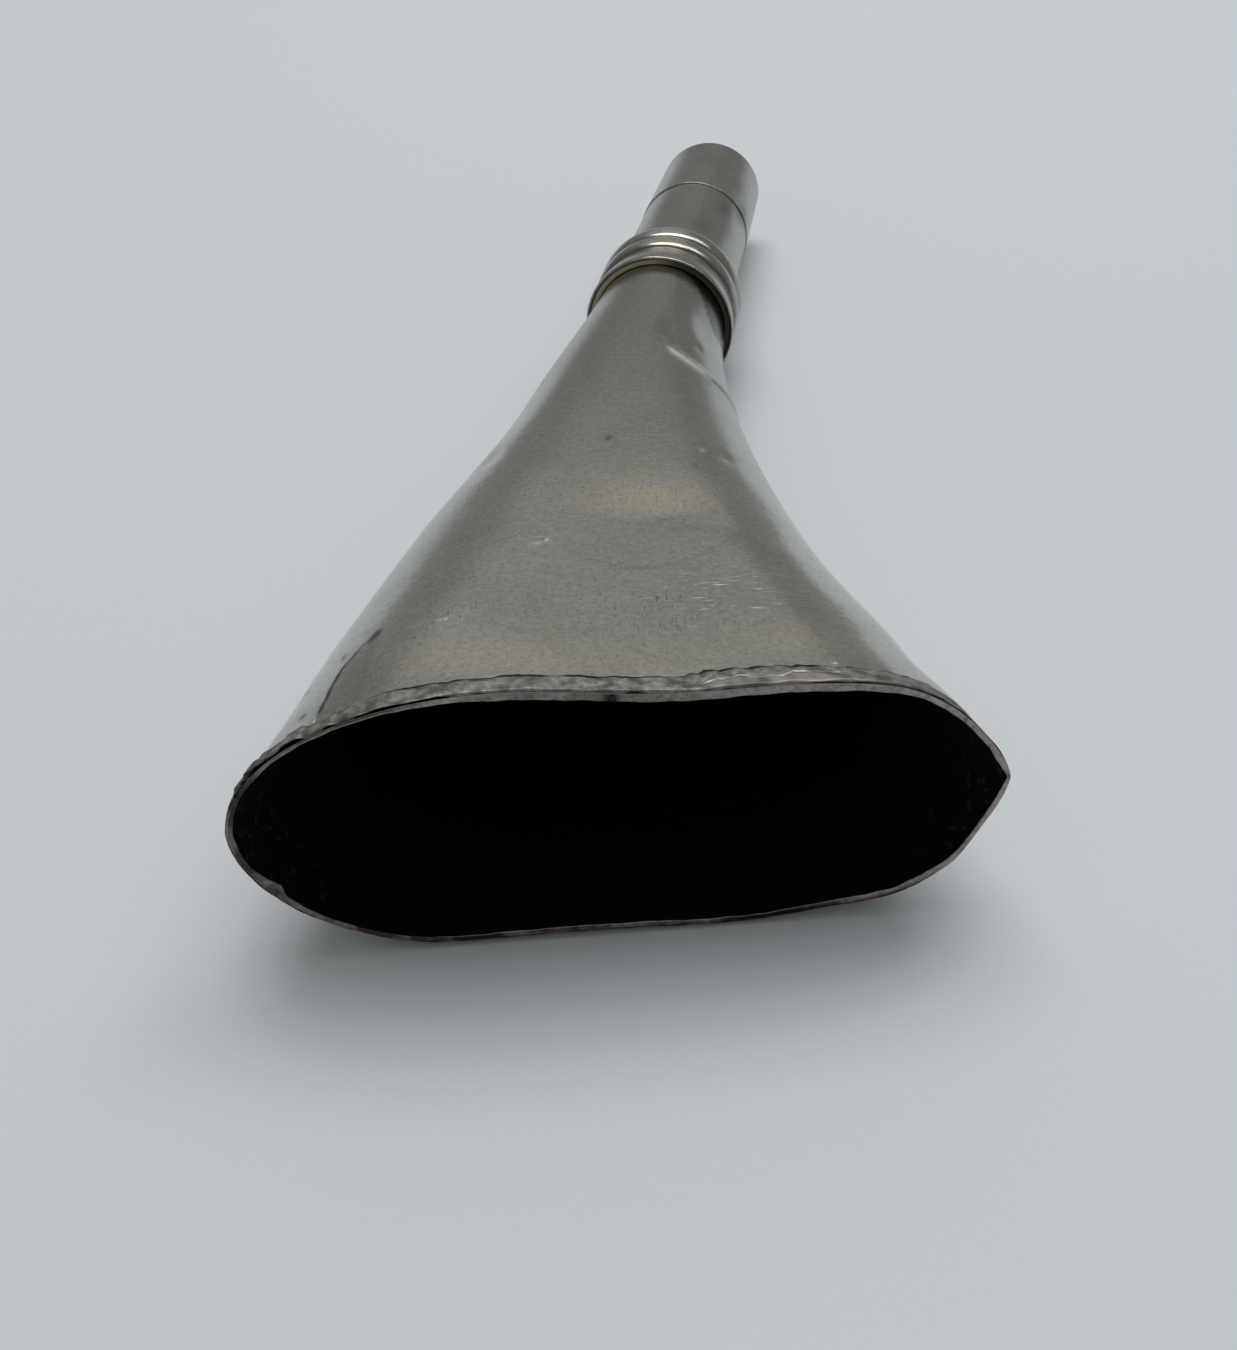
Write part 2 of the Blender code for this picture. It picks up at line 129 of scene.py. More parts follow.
def tarnished_colour(tree, place, painted, cloud, speckle):
    """The colour of the worn metal, before strokes and dirt."""
    cloud_share = add_node(tree, "MapRange", {"From Min": 0.38, "From Max": 0.68}, {"Value": cloud})
    colour = add_node(
        tree, "Mix", {"data_type": "RGBA", 6: linear("#c0c0b9"), 7: linear("#adada5")},
        {0: cloud_share.outputs["Result"]})
    for paint, tint in (("warm", "#d6cfbe"), ("dull", "#9f9f98")):
        colour = add_node(
            tree, "Mix", {"data_type": "RGBA", 7: linear(tint)}, {0: painted[paint], 6: colour.outputs[2]})
    speckle_tone = add_node(
        tree, "MapRange", {"From Min": 0.3, "From Max": 0.7, "To Min": 0.8, "To Max": 1.11},
        {"Value": speckle})
    pricks = add_node(tree, "TexNoise", {"Scale": 1 / PINPRICK, "Detail": 1.0}, {"Vector": place})
    prick_tone = add_node(
        tree, "MapRange", {"From Min": 0.6, "From Max": 0.72, "To Min": 1.0, "To Max": 0.72},
        {"Value": pricks.outputs["Fac"]})
    for tone in (speckle_tone, prick_tone):
        colour = add_node(
            tree, "Mix", {"data_type": "RGBA", "blend_type": "MULTIPLY", 0: 1.0},
            {6: colour.outputs[2], 7: tone.outputs["Result"]})
    return colour.outputs[2]


print("clouds of", CLOUD / MM, "mm, speckle of", SPECKLE / MM, "mm")

# %% Dark nicks and bright hair scratches
NICK_LENGTH = 1.8 * MM
NICK_WIDTH = 0.16 * MM
NICK_LEAN = -0.25
SCRATCH_LENGTH = 2.4 * MM
SCRATCH_WIDTH = 0.12 * MM     # real hair scratches are finer too
SCRATCH_LEAN = 0.12


def stroke_share(tree, place, size, lean, start, end, paint):
    """Short leaning strokes where they are painted: 1 on a stroke and 0 beside it."""
    stretch = [1 / length for length in size]
    leaning = add_node(
        tree, "Mapping", {"Scale": stretch, "Rotation": (0.0, 0.0, lean)}, {"Vector": place})
    strokes = add_node(
        tree, "TexNoise", {"Scale": 1.0, "Detail": 1.0}, {"Vector": leaning.outputs["Vector"]})
    share = add_node(
        tree, "MapRange", {"From Min": start, "From Max": end}, {"Value": strokes.outputs["Fac"]})
    kept = add_node(tree, "Math", {"operation": "MULTIPLY"}, {0: share.outputs["Result"], 1: paint})
    return kept.outputs["Value"]


print("nicks of", NICK_LENGTH / MM, "mm, scratches of", SCRATCH_LENGTH / MM, "mm")

# %% Nickel silver, satin and tarnished
PEEL = 3.2 * MM
PEEL_DEPTH = 0.02 * MM
PAINTED = ("warm", "dull", "nicks", "hairs", "glint", "grime_and_shade")


def make_nickel_silver():
    material, tree, shader, place = start_material("nickel_silver_satin")
    painted = {}
    for name in PAINTED:
        painted[name] = add_node(tree, "Attribute", {"attribute_name": name}).outputs["Fac"]
    clouds = {"Scale": 1 / CLOUD, "Detail": 5.0, "Roughness": 0.62}
    cloud = add_node(tree, "TexNoise", clouds, {"Vector": place}).outputs["Fac"]
    speckles = {"Scale": 1 / SPECKLE, "Detail": 3.0, "Roughness": 0.7}
    speckle = add_node(tree, "TexNoise", speckles, {"Vector": place}).outputs["Fac"]
    nick_size = (NICK_WIDTH, NICK_LENGTH, NICK_LENGTH)
    nicks = stroke_share(tree, place, nick_size, NICK_LEAN, 0.65, 0.73, painted["nicks"])
    scratch_size = (SCRATCH_LENGTH, SCRATCH_WIDTH, SCRATCH_LENGTH)
    hairs = stroke_share(tree, place, scratch_size, SCRATCH_LEAN, 0.66, 0.75, painted["hairs"])
    # bright scratches, and painted highlights where glint is painted: the brighter of the two
    brightest = add_node(tree, "Math", {"operation": "MAXIMUM"}, {0: hairs, 1: painted["glint"]})
    scratches = brightest.outputs["Value"]
    colour = tarnished_colour(tree, place, painted, cloud, speckle)
    # the darkest paint holds dirt and painted shade alike
    for share, tint in ((nicks, "#5a5954"), (scratches, "#eeede8"), (painted["grime_and_shade"], "#1d1a17")):
        mixed = add_node(tree, "Mix", {"data_type": "RGBA", 7: linear(tint)}, {0: share, 6: colour})
        colour = mixed.outputs[2]
    gloss = add_node(
        tree, "MapRange", {"From Min": 0.3, "From Max": 0.7, "To Min": 0.14, "To Max": 0.21},
        {"Value": cloud})
    handled = add_node(
        tree, "Math", {"operation": "MULTIPLY_ADD", 1: 0.07},
        {0: painted["dull"], 2: gloss.outputs["Result"]})
    roughness = add_node(
        tree, "Math", {"operation": "MULTIPLY_ADD", 1: 0.42}, {0: scratches, 2: handled.outputs["Value"]})
    peel = add_node(tree, "TexNoise", {"Scale": 1 / PEEL, "Detail": 2.0}, {"Vector": place})
    ripple = add_node(
        tree, "Bump", {"Strength": 1.0, "Distance": PEEL_DEPTH}, {"Height": peel.outputs["Fac"]})
    bump = add_node(
        tree, "Bump", {"Strength": 0.2, "Distance": PEEL_DEPTH},
        {"Height": speckle, "Normal": ripple.outputs["Normal"]})
    set_node(tree, shader, {"Metallic": 1.0}, {
        "Base Color": colour, "Roughness": roughness.outputs["Value"], "Normal": bump.outputs["Normal"]})
    return material


NICKEL_SILVER = make_nickel_silver()
print("made", NICKEL_SILVER.name)

# %% [markdown]
# ## The cut edge and the inside of the bell
# Round the mouth the sheet shows its cut edge, a warmer metal with dirt in its file marks; towards its
# lower side the edge is painted darker, as dirt and painted shade. Inside, breath and years have
# blackened the sheet to a dull oxide that drinks up the light. Where it flakes, a few paler flecks show,
# and a painted attribute says where. One material with masks could do all this. Two more materials are
# simpler, because the rows of the mesh already say where each of them starts.

# %% Cut edge of nickel silver
FILE_MARK = 0.5 * MM
FILE_MARK_DEPTH = 0.05 * MM
STAIN = 2.4 * MM


def make_cut_edge():
    material, tree, shader, place = start_material("nickel_silver_cut_edge")
    marks = add_node(
        tree, "TexNoise", {"Scale": 1 / FILE_MARK, "Detail": 4.0, "Roughness": 0.7}, {"Vector": place})
    share = add_node(tree, "MapRange", {"From Min": 0.45, "From Max": 0.8}, {"Value": marks.outputs["Fac"]})
    colour = add_node(
        tree, "Mix", {"data_type": "RGBA", 6: linear("#b2a9a1"), 7: linear("#56504a")},
        {0: share.outputs["Result"]})
    stains = add_node(tree, "TexNoise", {"Scale": 1 / STAIN, "Detail": 4.0}, {"Vector": place})
    stain_share = add_node(
        tree, "MapRange", {"From Min": 0.18, "From Max": 0.56}, {"Value": stains.outputs["Fac"]})
    # the cut edge's dark paint is dirt, and painted shade on the lower lip
    grime_and_shade = add_node(tree, "Attribute", {"attribute_name": "grime_and_shade"})
    grime_and_shade_share = add_node(
        tree, "Math", {"operation": "MULTIPLY"}, {0: grime_and_shade.outputs["Fac"], 1: stain_share.outputs["Result"]})
    dirt_and_shade_mix = add_node(
        tree, "Mix", {"data_type": "RGBA", 7: linear("#1f1d1b")},
        {0: grime_and_shade_share.outputs["Value"], 6: colour.outputs[2]})
    bump = add_node(
        tree, "Bump", {"Strength": 0.6, "Distance": FILE_MARK_DEPTH}, {"Height": marks.outputs["Fac"]})
    set_node(tree, shader, {"Metallic": 1.0, "Roughness": 0.42}, {
        "Base Color": dirt_and_shade_mix.outputs[2], "Normal": bump.outputs["Normal"]})
    return material


CUT_EDGE = make_cut_edge()
print("made", CUT_EDGE.name)

# %% Black oxide
SOOT = 2.0 * MM
FLECK = 0.9 * MM


def make_black_oxide():
    material, tree, shader, place = start_material("black_oxide_inside")
    soot = add_node(tree, "TexNoise", {"Scale": 1 / SOOT, "Detail": 4.0}, {"Vector": place})
    colour = add_node(
        tree, "Mix", {"data_type": "RGBA", 6: linear("#050505"), 7: linear("#0f0d0b")},
        {0: soot.outputs["Fac"]})
    flecks = add_node(tree, "TexNoise", {"Scale": 1 / FLECK, "Detail": 2.0}, {"Vector": place})
    fleck_share = add_node(
        tree, "MapRange", {"From Min": 0.6, "From Max": 0.7}, {"Value": flecks.outputs["Fac"]})
    flaked = add_node(tree, "Attribute", {"attribute_name": "flaked"})
    flake_share = add_node(
        tree, "Math", {"operation": "MULTIPLY"}, {0: fleck_share.outputs["Result"], 1: flaked.outputs["Fac"]})
    flecked = add_node(
        tree, "Mix", {"data_type": "RGBA", 7: linear("#2e2c28")},
        {0: flake_share.outputs["Value"], 6: colour.outputs[2]})
    set_node(tree, shader, {"Roughness": 0.9, "Specular IOR Level": 0.1}, {"Base Color": flecked.outputs[2]})
    return material


BLACK_OXIDE = make_black_oxide()
print("made", BLACK_OXIDE.name)

# %% [markdown]
# ## The form of the bell
# The bell starts from the same formula as the solid: a flattened oval at the mouth that turns into a
# circle at the neck, on a centre line that is an arc. A curve with a bevel could give a bent tube, but not
# a section that changes its kind on the way. Columns of points are spread evenly along the outline of each
# section, because even angles would leave the flat sides with too few points.

# %% Sections of the bell
BELL_LENGTH = 94.2 * MM
NECK_RADIUS = 8.1 * MM
WIDTH_FLARE = 1.43
HEIGHT_FLARE = 1.45
MOUTH_FLATNESS = 3.2
OUTER_EDGE_ROUNDNESS = 1.85
SEAM_EDGE_ROUNDNESS = 1.5


def half_sizes(stations, offset):
    """Openness of the bell from 0 to 1, and half its width and height, at these stations."""
    openness = np.maximum(1 - stations / BELL_LENGTH, 0.0)
    half_width = NECK_RADIUS + (MOUTH_HALF_WIDTH - NECK_RADIUS) * openness ** WIDTH_FLARE + offset
    half_height = NECK_RADIUS + (MOUTH_HALF_HEIGHT - NECK_RADIUS) * openness ** HEIGHT_FLARE + offset
    return openness, half_width, half_height


def section(stations, angles, offset):
    """Across and height of points on the sections at these stations, moved out by an offset."""
    openness, half_width, half_height = half_sizes(stations, offset)
    cosine, sine = np.cos(angles), np.sin(angles)
    edge = np.where(cosine > 0, SEAM_EDGE_ROUNDNESS, OUTER_EDGE_ROUNDNESS)
    width_power = 2 / (2 + (MOUTH_FLATNESS - 2) * openness)
    height_power = 2 / (2 + (edge - 2) * openness)
    across = np.sign(cosine) * half_width * np.abs(cosine) ** width_power
    height = np.sign(sine) * half_height * np.abs(sine) ** height_power
    return across, height


mouth_across = section(np.zeros(4), np.radians([0, 60, 120, 180]), 0.0)[0]
print("places across the mouth, mm:", np.round(mouth_across / MM, 1))

# %% The bent centre line, and a walk round a section
BEND = math.radians(14.5)
WALK_STEPS = 2400


def on_centre_line(stations, across, height):
    """Points of the horn's frame for places across and above the bent centre line."""
    heading = BEND * np.minimum(stations, BELL_LENGTH) / BELL_LENGTH
    beyond = np.maximum(stations - BELL_LENGTH, 0.0)
    radius = BELL_LENGTH / BEND
    x = radius * (1 - np.cos(heading)) + beyond * np.sin(heading) + across * np.cos(heading)
    y = radius * np.sin(heading) + beyond * np.cos(heading) - across * np.sin(heading)
    return np.stack([x, y, height], axis=-1)


def walk_outline(station):
    """Angles round a section, the places across, and the share of the outline walked so far."""
    angles = np.linspace(0.0, 2 * math.pi, WALK_STEPS + 1)
    across, height = section(np.array(station), angles, 0.0)
    steps = np.hypot(np.diff(across), np.diff(height))
    walked = np.concatenate([[0.0], np.cumsum(steps)])
    return angles, across, walked / walked[-1]


def even_angles(station, shares):
    """Angles at which the outline of a section reaches these shares of its length."""
    angles, _, walked = walk_outline(station)
    return np.interp(shares, walked, angles)


print("centre line with a radius of", round(BELL_LENGTH / BEND / MM), "mm")

# %% [markdown]
# ## Dents
# The old sheet is not the clean form any more. Its upper lip is pressed in, its seam edge stands high,
# and its flanks have flat places. Near the neck the inner side of the bend has buckled into a short crease,
# and beside the mouth a wedge of sheet has moved along a crack. All this could be sculpted by hand. Here
# each dent is a smooth hollow with a real place, reach and depth, so that any one of them can be changed.

# %% Soft steps and soft spots
def fade(value):
    """A smooth step from 0 to 1."""
    share = np.clip(value, 0.0, 1.0)
    return share * share * (3 - 2 * share)


def past(places, start, reach):
    """0 up to a place, and 1 from a reach beyond it. A negative reach runs the other way."""
    return fade((places - start) / reach)


def around(places, middle, reach):
    """1 at a place, falling off smoothly over a reach on both sides of it."""
    return np.exp(-((places - middle) / reach) ** 2)


def spot(along, across, station, place, reach_along, reach_across):
    """1 at a place on the sheet, falling off smoothly over a reach along it and a reach across."""
    return np.exp(-((along - station) / reach_along) ** 2 - ((across - place) / reach_across) ** 2)


print("half way up a soft step:", float(fade(0.5)))

# %% Dents of the flat sides and the flanks
UPPER, LOWER = 1, -1
# side, station, across, reach along, reach across, depth towards the middle, all in mm
HOLLOWS = {
    "upper lip pressed in": (UPPER, 0.0, 5.5, 24.0, 12.7, 1.81),
    "upper lip left of it": (UPPER, 0.0, -22.0, 9.0, 10.0, 0.3),
    "upper lip at the seam": (UPPER, 0.0, 30.4, 8.0, 2.1, 0.3),
    "upper lip swollen right": (UPPER, 0.0, 23.8, 10.0, 4.3, -0.47),
    "lower lip swollen left": (LOWER, 0.0, -19.0, 12.0, 5.8, -0.54),
    "lower lip flat": (LOWER, 0.0, -3.3, 14.0, 9.4, 0.49),
    "lower lip swollen right": (LOWER, 0.0, 24.4, 12.0, 5.0, -1.25),
    "lower lip by the seam": (LOWER, 0.0, 28.1, 10.0, 1.9, -0.81),
    "knock on the left flank": (UPPER, 46.5, -12.6, 1.6, 1.0, 0.3),
    "knock on the right flank": (UPPER, 45.1, 11.2, 1.1, 0.7, 0.1),
    "tick above the crease": (UPPER, 75.6, 6.9, 1.0, 0.5, 0.12),
}
# side, station, reach along, lift of the edge, push towards the middle, all in mm
EDGES = {
    "left edge at the mouth": (-1, 0.0, 16.0, 0.15, 0.0),
    "right edge at the mouth": (1, 0.0, 16.0, 0.54, 0.22),
    "left flank": (-1, 57.0, 11.0, 0.0, 0.8),
    "right flank": (1, 33.0, 9.0, 0.0, 0.35),
    "buckle in the bend": (1, 77.0, 3.5, 0.0, -0.2),
    "buckle beside the crease": (1, 71.0, 3.5, 0.0, -0.4),
    "right flank by the mouth": (1, 9.5, 5.5, 0.0, 1.0),
    "left flank by the mouth": (-1, 8.0, 7.0, 0.0, 0.4),
}
EDGE_REACH = 5.0
SIDE_FADE = 2.0


def dent(stations, across, height):
    """Moves points of the clean form into the dents. Works in mm."""
    along, new_across, new_height = stations / MM, across / MM, height / MM
    shift_height = np.zeros_like(new_height)
    shift_across = np.zeros_like(new_across)
    for side, station, place, reach_along, reach_across, depth in HOLLOWS.values():
        near = spot(along, new_across, station, place, reach_along, reach_across)
        shift_height -= side * depth * near * fade(side * new_height / SIDE_FADE)
    half_width = np.abs(new_across).max(axis=-1, keepdims=True)
    for side, station, reach_along, lift, push in EDGES.values():
        near = around(along, station, reach_along) * around(side * new_across, half_width, EDGE_REACH)
        shift_height += lift * near
        shift_across -= side * push * near
    return (new_across + shift_across) * MM, (new_height + shift_height) * MM


print(len(HOLLOWS), "hollows and", len(EDGES), "bent edges")

# %% The crease at the neck and a flat place beside it, in mm out from the sheet
CREASE_STATION = 68.1
CREASE_ANGLE = 43.0
CREASE_CURVE = 0.0036
CREASE_SPAN = (2.0, 84.0)
CREASE_FADE = (12.0, 16.0)
CREASE_DEPTH = 0.5
CREASE_WALL = 2.6
CREASE_RECOVERY = 7.0
# station, angle, reach along, reach round, depth of the flat place on the neck
PRESSED = (83.0, 38.0, 6.0, 18.0, 0.4)


def crease_line(degrees):
    return CREASE_STATION + CREASE_CURVE * np.maximum(degrees - CREASE_ANGLE, 0.0) ** 2


def crease(along, degrees):
    """The sheet steps in along a line across the shoulder, and comes back slowly towards the neck."""
    window = past(degrees, CREASE_SPAN[0], CREASE_FADE[0]) * past(degrees, CREASE_SPAN[1], -CREASE_FADE[1])
    beyond = along - crease_line(degrees)
    wall = np.clip(beyond / CREASE_WALL, 0.0, 1.0)
    recovery = around(np.maximum(beyond - CREASE_WALL, 0.0), 0.0, CREASE_RECOVERY)
    return -CREASE_DEPTH * window * wall * recovery


def pressed(along, degrees):
    """The neck is flattened on the inner side of the bend."""
    station, angle, reach_along, reach_round, depth = PRESSED
    return -depth * spot(along, degrees, station, angle, reach_along, reach_round)


print("crease from", CREASE_SPAN[0], "to", CREASE_SPAN[1], "degrees round the neck")

# %% The valley on top and the fold beside it, in mm out from the sheet
# places are station and across, reaches are along and across
VALLEY = (28.6, 4.0)
VALLEY_DEPTH = 0.26
VALLEY_REACH = (5.5, 9.0)
VALLEY_SOFTNESS = 0.5
FOLD = (20.0, 2.8)
FOLD_CURVE = 0.08
FOLD_DEPTH = 0.05
FOLD_WALL = 1.0
FOLD_RECOVERY = 6.0
FOLD_REACH = 10.0


def fold_line(across):
    return FOLD[0] + FOLD_CURVE * (across - FOLD[1]) ** 2


def valley(along, across, height):
    """A shallow valley with a sharp floor, where the top was pressed against an edge."""
    away = np.hypot(along - VALLEY[0], VALLEY_SOFTNESS) - VALLEY_SOFTNESS
    near = np.exp(-away / VALLEY_REACH[0] - ((across - VALLEY[1]) / VALLEY_REACH[1]) ** 2)
    beyond = along - fold_line(across)
    wall = fade(beyond / FOLD_WALL) * np.exp(-np.maximum(beyond, 0.0) / FOLD_RECOVERY)
    fold = FOLD_DEPTH * wall * np.exp(-((across - FOLD[1]) / FOLD_REACH) ** 4)
    return -(VALLEY_DEPTH * near + fold) * (height > 0)


print("valley of", VALLEY_DEPTH, "mm, fold of", FOLD_DEPTH, "mm")

# %% The wedge that moved along the crack, in mm out from the sheet
# station and across of the crack, from its foot at the rim to its tip
CRACK = [
    (2.4, -24.1), (4.8, -23.5), (7.6, -23.05), (9.6, -22.45), (11.0, -21.65), (12.8, -20.55), (14.1, -19.55)]
CRACK_FOOT, CRACK_TIP = CRACK[0], CRACK[-1]
WEDGE_EDGE = -19.3
WEDGE_LEAN = 0.1
WEDGE_STEP = 0.16
WEDGE_LEAST_ROOM = 0.3
WEDGE_START = 0.6
WEDGE_FADE = (3.0, 5.0)
CRACK_STEP_WIDTH = 0.14


def crack_across(along):
    """Where the crack lies across the bell at these stations, in mm."""
    return np.interp(along, *zip(*CRACK))


def wedge_edge(along):
    """Where the moved wedge ends on its right, in mm across."""
    return WEDGE_EDGE - WEDGE_LEAN * (CRACK_TIP[0] - along)


def wedge(along, across, height):
    """The sheet right of the crack has lifted a little, and comes back to the form at the wedge's edge."""
    line = crack_across(along)
    room = np.maximum(wedge_edge(along) - line, WEDGE_LEAST_ROOM)
    share = np.clip((wedge_edge(along) - across) / room, 0.0, 1.0)
    inside = fade((across - line) / CRACK_STEP_WIDTH + 0.5) * (height > 0)
    ends = past(along, CRACK_TIP[0], -WEDGE_FADE[1]) * past(along, WEDGE_START, WEDGE_FADE[0])
    return WEDGE_STEP * share * inside * ends


print("crack of", round(math.dist(CRACK_FOOT, CRACK_TIP), 1), "mm")

# %% Full shoulders, the seam, and all marks together, in mm out from the sheet
SHOULDER_FULLNESS = 0.24
SHOULDER_PLACE = 3.0
SHOULDER_REACH = 2.2
SHOULDER_END = 46.0
SHOULDER_FADE = 10.0
# station, reach along, distance from the edge, reach across, extra on the left and on the right
LIP_SHOULDER = (12.0, 8.0, 3.0, 4.0, 0.12, 0.32)
LIP_CALM = 5.0
SEAM_WIDTH = 3.2
SEAM_STEP = 0.14
SEAM_EDGE = 0.25
SEAM_START = 2.5
SEAM_FADE = 3.0


def shoulders(along, across, from_edge):
    """The flat sides stay flat until near the edges: the shoulders are full, most of all by the lip."""
    near = around(from_edge, SHOULDER_PLACE, SHOULDER_REACH) * past(along, SHOULDER_END, -SHOULDER_FADE)
    station, reach_along, place, reach_across, left, right = LIP_SHOULDER
    by_lip = spot(along, from_edge, station, place, reach_along, reach_across)
    extra = np.where(across > 0, right, left) * by_lip
    return fade(along / LIP_CALM) * (SHOULDER_FULLNESS * near + extra)


def seam(from_edge, across, height):
    """The lapped seam runs along the inner side of the bend, just under its edge."""
    lap = fade((SEAM_WIDTH - from_edge - np.abs(height)) / SEAM_EDGE)
    return SEAM_STEP * lap * ((height < 0) & (across > 0))


def sheet_marks(stations, angles, across, height):
    """All the marks together, in mm out from the sheet."""
    along, degrees, across, height = stations / MM, np.degrees(angles), across / MM, height / MM
    from_edge = np.abs(across).max(axis=-1, keepdims=True) - np.abs(across)
    out = crease(along, degrees) + pressed(along, degrees) + valley(along, across, height)
    out = out + wedge(along, across, height)
    out = out + seam(from_edge, across, height) * past(along, SEAM_START, SEAM_FADE)
    return out + shoulders(along, across, from_edge)


print("seam of", SEAM_WIDTH, "mm, standing out", SEAM_STEP, "mm")

# %% [markdown]
# ## The bell as one closed sheet
# The sheet is one closed skin: down the outside from the neck, round the cut edge with its tiny bevels,
# and back up the inside. A Solidify modifier could thicken a single surface, but this lip changes its
# thickness all the way round. Rows lie closer at the lip and at the crease, where the light shows more,
# and a few columns lean to follow the crack, so that it stays a clean thin line.

# %% Points of the bell with all its marks
WAVE_SIZE = 11.0 * MM
WAVE_HEIGHT = 0.035 * MM


def bell_points(stations, angles, offset):
    """Points of the dented bell at an offset from the outer face, in the horn's frame."""
    across, height = section(stations, angles, offset)
    marks = sheet_marks(stations, angles, across, height) * MM
    half_width, half_height = half_sizes(stations, offset)[1:]
    out_across, out_height = across / half_width ** 2, height / half_height ** 2
    reach = np.hypot(out_across, out_height)
    out_across, out_height = out_across / reach, out_height / reach
    across, height = dent(stations, across + out_across * marks, height + out_height * marks)
    points = on_centre_line(stations, across, height)
    waves = [noise.noise(Vector(point) / WAVE_SIZE) for point in points.reshape(-1, 3)]
    points[..., 2] += out_height * np.array(waves).reshape(across.shape) * WAVE_HEIGHT
    return points, across


print("waves of", WAVE_SIZE / MM, "mm, up to", WAVE_HEIGHT / MM, "mm high")

# %% Rows along the bell
LIP_BEVEL = 0.06 * MM
# stations of the rows in mm: first, last and count of each run
OUTER_RUNS = [
    (96.4, 86.0, 10), (85.4, 72.4, 24), (71.9, 65.5, 33), (64.9, 60.0, 9), (59.2, 30.0, 36),
    (29.5, 16.0, 28), (15.6, 3.0, 42)]
OUTER_LIP = [2.5, 2.0, 1.4, 0.8, 0.35, 0.15]
INNER_LIP = [0.4, 1.0, 2.0, 3.5]
INNER_RUNS = [(6.0, 60.0, 10), (66.0, 96.4, 7)]
outer_rows = np.concatenate([np.linspace(*run) for run in OUTER_RUNS] + [OUTER_LIP]) * MM
outer_rows = np.append(outer_rows, LIP_BEVEL)
inner_rows = np.concatenate([[LIP_BEVEL / MM], INNER_LIP] + [np.linspace(*run) for run in INNER_RUNS]) * MM
row_stations = np.concatenate([outer_rows, [0.0, 0.0], inner_rows])[:, None]
outer_bevel = len(outer_rows)
inner_bevel = outer_bevel + 1
first_inside = outer_bevel + 2
print(len(outer_rows), "rows outside and", len(inner_rows), "inside")

# %% Columns round the bell
UPPER_COLUMNS = 240
LOWER_COLUMNS = 130
# columns beside the crack and on it, in shares of the outline away from the crack
CRACK_ZONE = (-0.03, 0.02)
CRACK_COLUMNS = np.concatenate([
    np.linspace(CRACK_ZONE[0], -0.007, 22), np.linspace(-0.006, 0.006, 21),
    np.linspace(0.007, CRACK_ZONE[1], 10)])
# the crack's middle, and the station from which the columns stop leaning, over what length, in mm
CRACK_MIDDLE = 9.0
LEAN_STATION = 16.0
LEAN_FADE = 8.0
LEAN_REACH = 0.05


def share_of_crack(station):
    """How far round the outline the crack lies at a station."""
    angles, across, walked = walk_outline(station)
    left = (angles > math.pi / 2) & (angles < math.pi)
    return float(np.interp(-crack_across(station / MM) * MM, -across[left], walked[left]))


crack_home = share_of_crack(CRACK_MIDDLE * MM)
upper_shares = np.linspace(0.0, 0.5, UPPER_COLUMNS, endpoint=False)
lower_shares = np.linspace(0.5, 1.0, LOWER_COLUMNS, endpoint=False)
beside_crack = (upper_shares < crack_home + CRACK_ZONE[0]) | (upper_shares > crack_home + CRACK_ZONE[1])
shares = np.sort(np.concatenate([upper_shares[beside_crack], lower_shares, crack_home + CRACK_COLUMNS]))


def row_of_angles(station):
    """Angles of one row, leaned so that the same columns stay on the crack."""
    lean = share_of_crack(min(station, LEAN_STATION * MM)) - crack_home
    lean = lean * math.exp(-max(station / MM - LEAN_STATION, 0.0) / LEAN_FADE)
    return even_angles(station, shares + lean * around(shares, crack_home, LEAN_REACH))


row_angles = np.array([row_of_angles(station) for station in row_stations[:, 0]])
print(len(shares), "columns")

# %% Wandering round the rim
RIM_LENGTH = 150.0


def wander(shares, size, seed):
    """A smooth random walk round the rim, between about -1 and 1, with a feature size in mm."""
    turns = RIM_LENGTH / size / (2 * math.pi)
    places = [Vector((turns * math.cos(a), turns * math.sin(a), seed)) for a in shares * 2 * math.pi]
    return np.array([noise.noise(place) for place in places]) * 2


print("a rim of", RIM_LENGTH, "mm to wander round")

# %% The lip's thickness
# The upper lip is turned in and thicker, and a lump of solder sits inside the lower left.
# thicknesses and reaches in mm, angles in degrees
LIP_EXTRA = 0.27
LIP_DEPTH = 2.5
LIP_THINS_RIGHT = 0.7
THIN_LEFT = 0.14
THICK_LOW_RIGHT = 0.1
THIN_CORNER = 0.3
CORNER_REACH = 8.0
LUMP_ANGLE = 207.0
LUMP_REACH = 6.5
LUMP_HEIGHT = 0.72
LIP_ROUGHNESS = 0.05
# places across from which the lip changes, and over what reach
THICK_FROM = (-16.0, 10.0)
THINS_RIGHT_FROM = (16.0, 10.0)
THIN_LEFT_FROM = (-14.0, -6.0)
THICK_LOW_RIGHT_FROM = (14.0, 8.0)
edge_across = section(row_stations, row_angles, 0.0)[0] / MM
edge_degrees = np.degrees(row_angles)
above = past(np.sin(row_angles), -0.1, 0.5)
thins_right = 1 - LIP_THINS_RIGHT * past(edge_across, *THINS_RIGHT_FROM)
lip_extra = LIP_EXTRA * above * past(edge_across, *THICK_FROM) * thins_right
lip_extra -= THIN_LEFT * above * past(edge_across, *THIN_LEFT_FROM)
lip_extra += THICK_LOW_RIGHT * (1 - above) * past(edge_across, *THICK_LOW_RIGHT_FROM)
lip_extra -= THIN_CORNER * around((edge_degrees + 180) % 360 - 180, 0.0, CORNER_REACH)
lump_form = 0.85 + 0.3 * wander(shares, 1.6, 21.5)
lip_extra += LUMP_HEIGHT * around(edge_degrees, LUMP_ANGLE, LUMP_REACH) * lump_form
lip_extra += LIP_ROUGHNESS * wander(shares, 1.3, 24.5)
lip_extra *= around(row_stations / MM, 0.0, LIP_DEPTH) * MM
